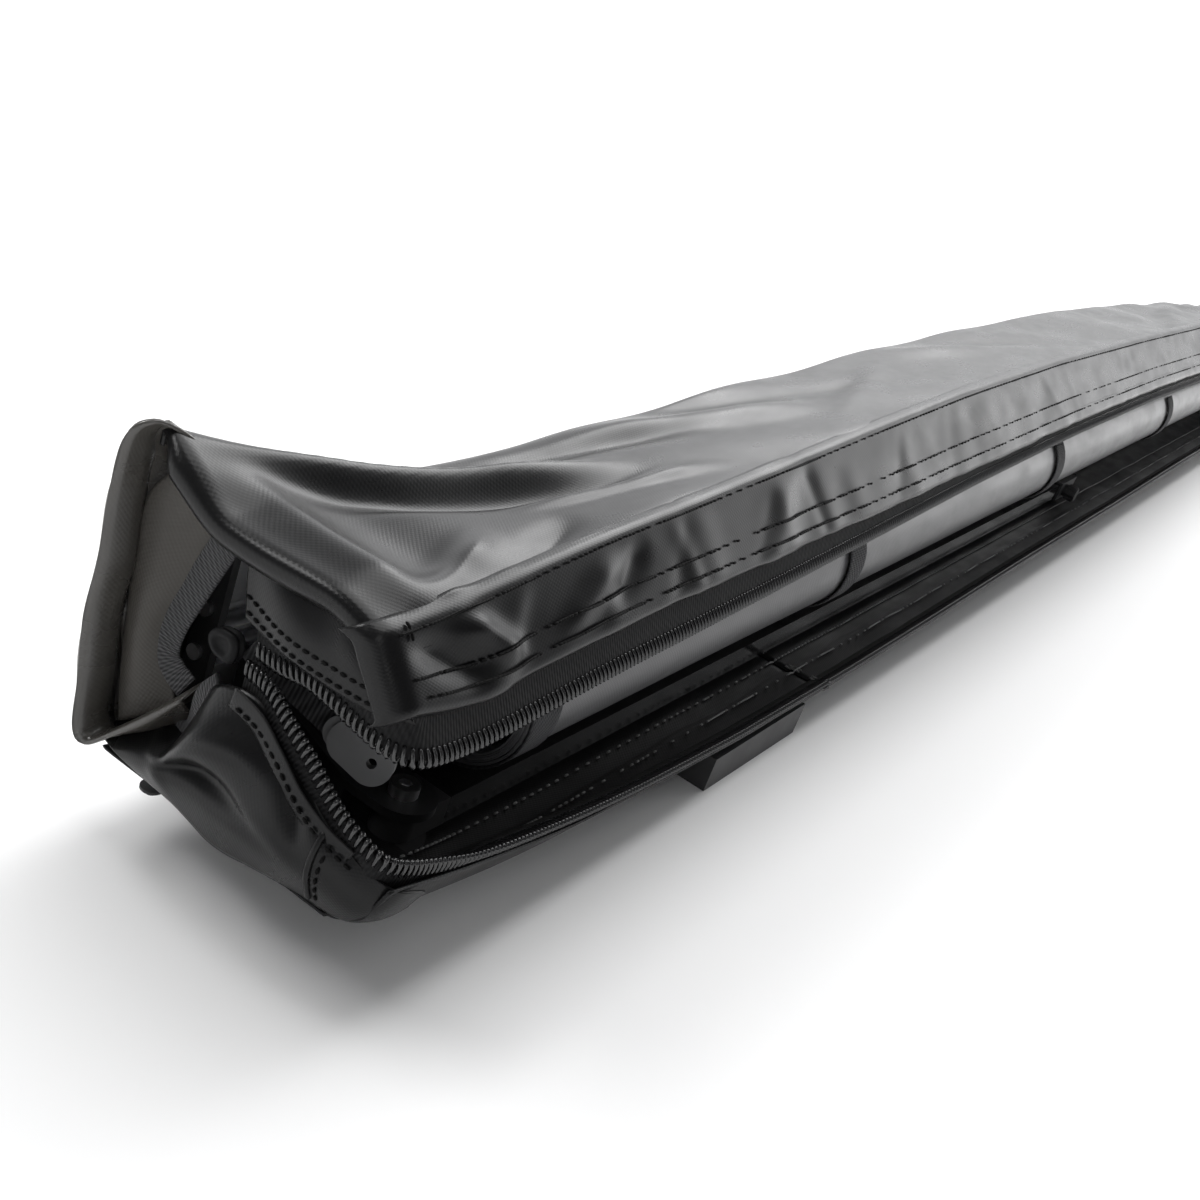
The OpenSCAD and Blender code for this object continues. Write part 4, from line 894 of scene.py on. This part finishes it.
for part, x in FLOOR_PARTS.items():
    floor_grid = loft(floor_rows(x), [5, 20, 22, 8, 10], 3)
    front_share = smooth((0.02 - floor_grid[..., 1]) / 0.06)
    slack = ripples(x[:, None] + 0 * front_share, floor_grid[..., 1], 31, 8, 0.09, 0.35 * MM)
    hem_edge = 44 + ripples(x, 0 * x, 37, 5, 0.12, 0.8)[:, None]
    turned_in = 1.1 * MM * smooth((np.arange(floor_grid.shape[1]) - hem_edge) / 1.2)
    floor_grid += normals(floor_grid) * (np.maximum(slack, -0.3 * MM) * front_share + turned_in)[..., None]
    if part != "middle":
        floor_grid[..., 2] -= 1.4 * MM * smooth((SPLIT + 4 * MM - np.abs(x)) / (4 * MM))[:, None]
    name = "bag_floor_cloth" if part == "middle" else f"bag_floor_end_{part}"
    floor_cloth = sew(name, floor_grid, "sole_cloth",
                      ["bag_floor"] if part == "middle" else ())
    hem_rows = [row_of(floor_grid, c) for c in (38, 46.5)]
    if part == "middle":
        flat = floor_grid[:, 6:60]
        up = normals(floor_grid)[:, 6:60]
        hem_rows += [(flat[a] * (1 - s) + flat[b] * s + up[a] * CLOTH, up[a])
                     for a, b in ((0, 1), (-1, -2)) for s in (0.35, 0.9)]
    hem_thread = stitch_mesh(f"hem_stitches_{part}", hem_rows)
    dress(hem_thread, "inner_thread")
    drop_with_arm(floor_cloth, part)
    drop_with_arm(hem_thread, part)
for side in SIDES:
    for name in ("gusset_cloth", "gusset_strip", "gusset_piping", "gusset_stitches", "notch_binding"):
        drop_with_arm(bpy.data.objects[f"{name}_{side}"], side)

# %% [markdown]
# ## The zip
# A coil zip is a plastic wire wound round and round along the edge of a woven tape. The real shape is a
# flattened helix, so that is what it is: a small tube swept along a helix that follows the edge of the
# cloth, fatter where the loops would meet the other side.

# %% Zip lines
UPPER_END = [(8, 12, 110), (6, 0, 111), (5, -19, 114), (4, -34, 112), (4, -50, 110), (6, -62, 109),
             (18, -68, 109)]
LOWER_END = [(6, 12, 102), (3, 0, 103), (0, -14, 98), (-1, -27, 92), (-1, -41, 82), (-1, -55, 75),
             (2, -68, 70), (12, -75, 64)]
ZIP_X = np.linspace(-END + 0.04, END - 0.04, 300)


def zip_path(end_points, y, z):
    """One edge of the zip: from the left end along the front, at depths y and heights z, to the right end."""
    front = line(ZIP_X, y, z)
    left = end_line(end_points, -1, 40)
    right = end_line(end_points, 1, 40)[::-1]
    return spline(np.vstack([left[::6], front[::5], right[::6]]), 6000)


upper_zip = zip_path(UPPER_END, along_bag(ZIP_X, COIL_Y), along_bag(ZIP_X, LIP_Z - COIL_DROP))
lower_zip = zip_path(LOWER_END, FRONT + 2 * MM, along_bag(ZIP_X, HEM_Z) + 4 * MM)
print(f"zip edges: {length_of(upper_zip):.2f} m upper, {length_of(lower_zip):.2f} m lower")

# %% [markdown]
# A coil and its tape both need to know which way the coil lies from its tape. The upper coil points down
# and a little forward. The lower one points up at the bag's ends and leans forward along the open front,
# so its direction turns at the corner.

# %% Coils and tapes
COIL_WIDE = 8 * MM
COIL_THICK = 4.2 * MM
COIL_PITCH = 3.0 * MM
COIL_WIRE = 0.85 * MM


def lean(path, at_end, along_front):
    """Direction from a tape to its coil: one at the bag's ends, turning to the other along the front."""
    share = inside(path[:, :1], 20 * MM, 60 * MM)
    return at_end * (1 - share) + along_front * share


def coil(name, path, reach):
    """Zip coil: path + wide/2 * cos(a) * side + thick/2 * sin(a) * face, one turn of a for each pitch. The
    wire is up to half as fat again on the side that meets the other half."""
    a = np.arange(0, length_of(path) / COIL_PITCH * TURN, TURN / 10)
    line_at = evenly(path, len(a))
    ahead = unit(np.gradient(line_at, axis=0))
    face = unit(np.cross(ahead, lean(line_at, *reach)))
    side = np.cross(face, ahead)
    wind = (line_at + (COIL_WIDE / 2 - COIL_WIRE) * np.cos(a)[:, None] * side
            + (COIL_THICK / 2 - COIL_WIRE) * np.sin(a)[:, None] * face)
    fat = 1 + 0.5 * np.maximum(np.cos(a), 0) ** 2
    return sweep(name, wind, ring(2 * COIL_WIRE, 2 * COIL_WIRE, 5) * fat[:, None, None], ahead)


def stretch(path, part):
    """The part of a zip edge that belongs to one end or to the middle."""
    keep = {"left": path[:, 0] <= -SPLIT, "middle": np.abs(path[:, 0]) <= SPLIT, "right": path[:, 0] >= SPLIT}
    return path[keep[part]]


UP = (np.array([0, -0.1, 1.0]), np.array([0, -0.9, 0.45]))
DOWN = (np.array([0, -0.45, -0.9]), np.array([0, -0.45, -0.9]))
upper_coil = coil("zip_coil_upper", upper_zip, DOWN)
dress(upper_coil, "zip_coil", replaced=["zip_chain_upper"])
for part in FLOOR_PARTS:
    lower_coil = coil(f"zip_coil_lower_{part}", stretch(lower_zip, part), UP)
    dress(lower_coil, "zip_coil", replaced=["zip_chain_lower"] if part == "middle" else ())
    drop_with_arm(lower_coil, part)


def tape(name, path, reach, show, sewn):
    """A flat woven tape beside a coil: from a little inside the coil back under the cloth."""
    ahead = unit(np.gradient(path, axis=0))
    toward = lean(path, *reach)
    side = unit(toward - (ahead * toward).sum(1, keepdims=True) * ahead)
    steps = np.linspace(show, sewn, 6)[:, None]
    grid = path[:, None] + side[:, None] * steps
    return surface(name, grid, 0.8 * MM)


upper_tape = tape("zip_tape_upper_cloth", evenly(upper_zip, 700), DOWN, 1 * MM, -17 * MM)
dress(upper_tape, "zip_tape", replaced=["zip_tape_upper"])
for part in FLOOR_PARTS:
    lower_tape = tape(f"zip_tape_lower_{part}", evenly(stretch(lower_zip, part), 300), UP, 1 * MM, -9 * MM)
    dress(lower_tape, "zip_tape", replaced=["zip_tape_lower"] if part == "middle" else ())
    drop_with_arm(lower_tape, part)
print("coil turns:", int(length_of(upper_zip) / COIL_PITCH))

# %% [markdown]
# The slider is a small casting of two plates with a groove between them and a bail for the pull. One
# outline is scaled by a list of steps through its thickness, so the groove needs no cutting.

# %% Slider
slider_low, slider_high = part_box("zip_slider")
slider_mid = (slider_low + slider_high) / 2
BODY_THICK = 6 * MM
PLATES = np.array([(-0.36, 0.02), (-0.36, 0.45), (-0.5, 0.55), (-0.5, 0.75), (-0.38, 0.95), (-0.18, 1),
                   (-0.12, 0.8), (0.12, 0.8), (0.18, 1), (0.38, 0.95), (0.5, 0.75), (0.5, 0.05)])
BAIL = np.array([(-0.6, 5.5, 0), (2.4, 4.0, 0), (3.2, 0, 0), (2.4, -4.5, 0), (-0.6, -6.0, 0)]) * MM
a = np.linspace(0, TURN, 32, endpoint=False)
outline_y = (slider_high.y - slider_low.y) / 2 * np.sign(np.cos(a)) * np.abs(np.cos(a)) ** 0.7
outline_z = (6.2 - 1.6 * np.cos(a)) * MM * np.sin(a)
slider_grid = np.empty((len(PLATES), len(a), 3))
slider_grid[..., 0] = slider_low.x + BODY_THICK * (0.5 + PLATES[:, :1])
slider_grid[..., 1] = slider_mid.y + PLATES[:, 1:] * outline_y
slider_grid[..., 2] = slider_mid.z + PLATES[:, 1:] * outline_z
slider_body = surface("zip_slider_body", slider_grid[:, ::-1], tube=True)
dress(slider_body, "zip_slider", replaced=["zip_slider"])
bail_line = spline(BAIL + [slider_low.x + BODY_THICK, slider_mid.y, slider_mid.z], 24)
dress(sweep("zip_slider_bail", bail_line, ring(2.4 * MM, 1.8 * MM), np.array([0, 0, 1.0])), "zip_slider")
print(f"slider {1000 * (slider_high.y - slider_low.y):.0f} mm long")

# %% [markdown]
# ## The rolled canopy
# The canopy is wound round the lead bar in several turns. A spiral drawn along X gives the real laps,
# which show at the ends and as one long edge. When the awning rolls out, its cloth leaves the roll, so the
# roll flattens onto the lead bar while the tail stretches from the rail.

# %% Canopy roll
TURNS = 9.2
LAP = 0.58 * MM


def roll_grid(x, outer, turns, first):
    """A spiral wound inwards: radius outer - lap * a / 2 pi at angle first - a, drawn out along X."""
    a = np.linspace(0, turns * TURN, int(turns * 40))
    r = outer - LAP * a / TURN
    y = ROLL_MID.y + r * np.cos(first - a)
    z = ROLL_MID.z + r * np.sin(first - a)
    grid = np.empty((len(x), len(a), 3))
    grid[..., 0] = x[:, None]
    grid[..., 1], grid[..., 2] = y, z
    sag = ripples(x[:, None] + 0 * y, a * ROLL_R / 2 + 0 * x[:, None], 41, 6, 0.3, 0.25 * MM)
    out = np.stack([0 * a, np.cos(first - a), np.sin(first - a)], -1)
    return grid + out * np.minimum(sag, 0.15 * MM)[..., None]


def flatten_roll(piece):
    """Gives a piece of the roll a mesh of its own."""
    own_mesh(piece)


canopy_grid = roll_grid(np.linspace(-ROLL_X, ROLL_X, 100), ROLL_R - 0.5 * MM, TURNS, math.radians(-40))
canopy = sew("canopy_cloth_roll", canopy_grid, "canopy_cloth", ["canopy_roll"],
             "canopy_web", 0.45 * MM)
flatten_roll(canopy)
for side, sign in SIDES.items():
    x = np.linspace(sign * (ROLL_X - 22 * MM), sign * ROLL_X, 8)
    hem = surface(f"canopy_hem_{side}", roll_grid(x, ROLL_R + 0.9 * MM, 1.04, math.radians(-36)), 1.0 * MM)
    dress(hem, "webbing", "canopy_web", ["roll_hems"] if side == "left" else ())
    flatten_roll(hem)

# %% [markdown]
# The tail of the canopy leaves the rail and rises to the roll. It belongs to the rail at one side and to
# the roll at the other, so it is put on neither body. The straps stay on the rail side.

# %% Tail and straps
tail_low, tail_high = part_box("canopy_tail")
tail_x = np.linspace(tail_low.x, tail_high.x, 60)
TAIL = [(GROOVE_Y, 80 * MM), (58 * MM, 80 * MM), (40 * MM, 91 * MM), (15 * MM, 104 * MM), (-3 * MM, 113 * MM)]
tail_line = spline(TAIL, 60)
tail_grid = np.empty((len(tail_x), 60, 3))
tail_grid[..., 0] = tail_x[:, None]
tail_grid[..., 1:] = tail_line
tail_grid[..., 2] += ripples(tail_grid[..., 0], tail_grid[..., 1], 51, 6, 0.2, 0.3 * MM) * np.sin(
    np.linspace(0, np.pi, 60))
tail = sew("canopy_tail_cloth", tail_grid, "canopy_cloth",
           ["canopy_tail"], thick=0.8 * MM)
tail.parent = None  # it rides on two bodies, so on neither alone
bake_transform(tail)

strap_low, strap_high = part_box("roll_straps")
STRAP_WIDE = 25 * MM
STRAPS = np.linspace(strap_low.x + STRAP_WIDE / 2, strap_high.x - STRAP_WIDE / 2, 4)
strap_turn = np.radians(np.linspace(112, -225, 70))
away = np.column_stack([0 * strap_turn, np.cos(strap_turn), np.sin(strap_turn)])
for k, middle in enumerate(STRAPS):
    wrap = np.array([middle, ROLL_MID.y, ROLL_MID.z]) + away * (ROLL_R + 1.3 * MM)
    strap = ribbon(f"roll_strap_{k + 1}", wrap, STRAP_WIDE, 1.7 * MM, away)
    dress(strap, "webbing", replaced=["roll_straps"] if k == 0 else ())
    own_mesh(strap)
print("straps:", len(STRAPS))

# %% [markdown]
# ## The pieces that stay as they are
# Rails, tubes, screws and knobs have the right shape already, so they only get their finish. The record
# says which finish belongs to which node, and the same names are used here.

# %% Finish on the frame's own nodes
for part in frame["record"]["subparts"]:
    node = frame["nodes"][part["node"]]
    if not node.hide_render:
        finish = "pull_webbing" if part["node"] == "zip_pull_tape" else part["material_slot"]
        node.data.materials.clear()
        node.data.materials.append(FINISHES[finish])
        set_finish(node, part["material_slot"])
EDGED = [n for n in frame["nodes"] if n.startswith(("arm_", "lead_", "leg_", "mount_", "back_rail"))
         and "collar" not in n]
for name in EDGED:
    worn = frame["nodes"][name].modifiers.new("Worn edges", "BEVEL")
    worn.width = 0.5 * MM
    worn.segments = 2
    worn.limit_method = "ANGLE"
    worn.angle_limit = math.radians(40)
    worn.harden_normals = True
plain = [n for n, o in frame["nodes"].items() if not o.hide_render and "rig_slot" not in o]
print("nodes shown:", sum(not o.hide_render for o in frame["nodes"].values()), "without a finish:", plain)

# %% [markdown]
# ## Floor and light
# Black satin shows nothing but reflections, so the light is made of large soft shapes. The world glows on
# the side that the top of the bag mirrors, and is pale at the horizon. A wide lamp hangs overhead, a large
# one far to the right lays the long sheen on the top, and three smaller ones draw the edges. The floor is
# plain paper that glows far away, so that the photograph's camera sees no edge.

# %% Studio
FLOOR_HALF = 30.0
corners = np.array([[-1, -1, 0], [1, -1, 0], [1, 1, 0], [-1, 1, 0]]) * FLOOR_HALF
floor = make_mesh("studio_floor", corners, [np.arange(4)[None]])
paper = Finish("studio_paper", Base_Color=(0.92, 0.92, 0.92), Roughness=0.9, Specular_IOR_Level=0.1)
far = paper.node("ShaderNodeVectorMath", {"operation": "LENGTH"}, {0: paper.place()}, out=1)
paper.set("Emission Color", paper.tint(far.over(0.9, 3.4), (0, 0, 0), (0.9, 0.9, 0.9)))
paper.set("Emission Strength", 1.0)
floor.data.materials.append(paper.material)

world = bpy.data.worlds.new("studio")
bpy.context.scene.world = world
world.use_nodes = True
GLOW_FROM = (0.9, 0.42, 0.12)
sky = Graph(world.node_tree)
toward = sky.node("ShaderNodeTexCoord")
aside = sky.node("ShaderNodeVectorMath", {"operation": "DOT_PRODUCT"}, {0: toward, 1: GLOW_FROM}, out=1)
height = sky.node("ShaderNodeSeparateXYZ", None, {0: toward}, out=2)
glow = aside.over(0.3, 0.95, 0.10, 1.3)
horizon = height.over(0.12, 0.30, 0.85, 0.0)
background = world.node_tree.nodes["Background"]
background.inputs["Color"].default_value = (0.98, 0.985, 1.0, 1)
world.node_tree.links.new(glow.math("MAXIMUM", glow, horizon).link, background.inputs["Strength"])


def lamp(name, at, aim, size, power):
    """A wide soft lamp."""
    light = bpy.data.lights.new(name, "AREA")
    light.shape = "RECTANGLE"
    light.size, light.size_y = size
    light.energy = power
    made = bpy.data.objects.new(name, light)
    made.location = at
    made.rotation_euler = (Vector(aim) - Vector(at)).to_track_quat("-Z", "Y").to_euler()
    bpy.context.scene.collection.objects.link(made)


LAMPS = {  # place, what it points at, width and height, watts
    "overhead": ((-0.2, 0.5, 2.6), (-0.2, 0.2, 0), (2.6, 1.6), 46),
    "back": ((-1.6, 1.3, 1.5), (-1.0, 0, 0.1), (1.4, 0.4), 20),
    "left": ((-2.5, -0.9, 1.5), (-1.1, 0, 0.1), (0.4, 1.2), 3.5),
    "front": ((2.2, -1.0, 0.8), (-0.6, 0, 0.14), (1.2, 1.8), 10),
    "sheen": ((2.2, 0.7, 2.3), (-0.8, 0, 0.15), (2.4, 1.9), 66),
}
for name, numbers in LAMPS.items():
    lamp(name, *numbers)
bpy.context.scene.view_settings.view_transform = "Standard"
print("lamps:", ", ".join(LAMPS))
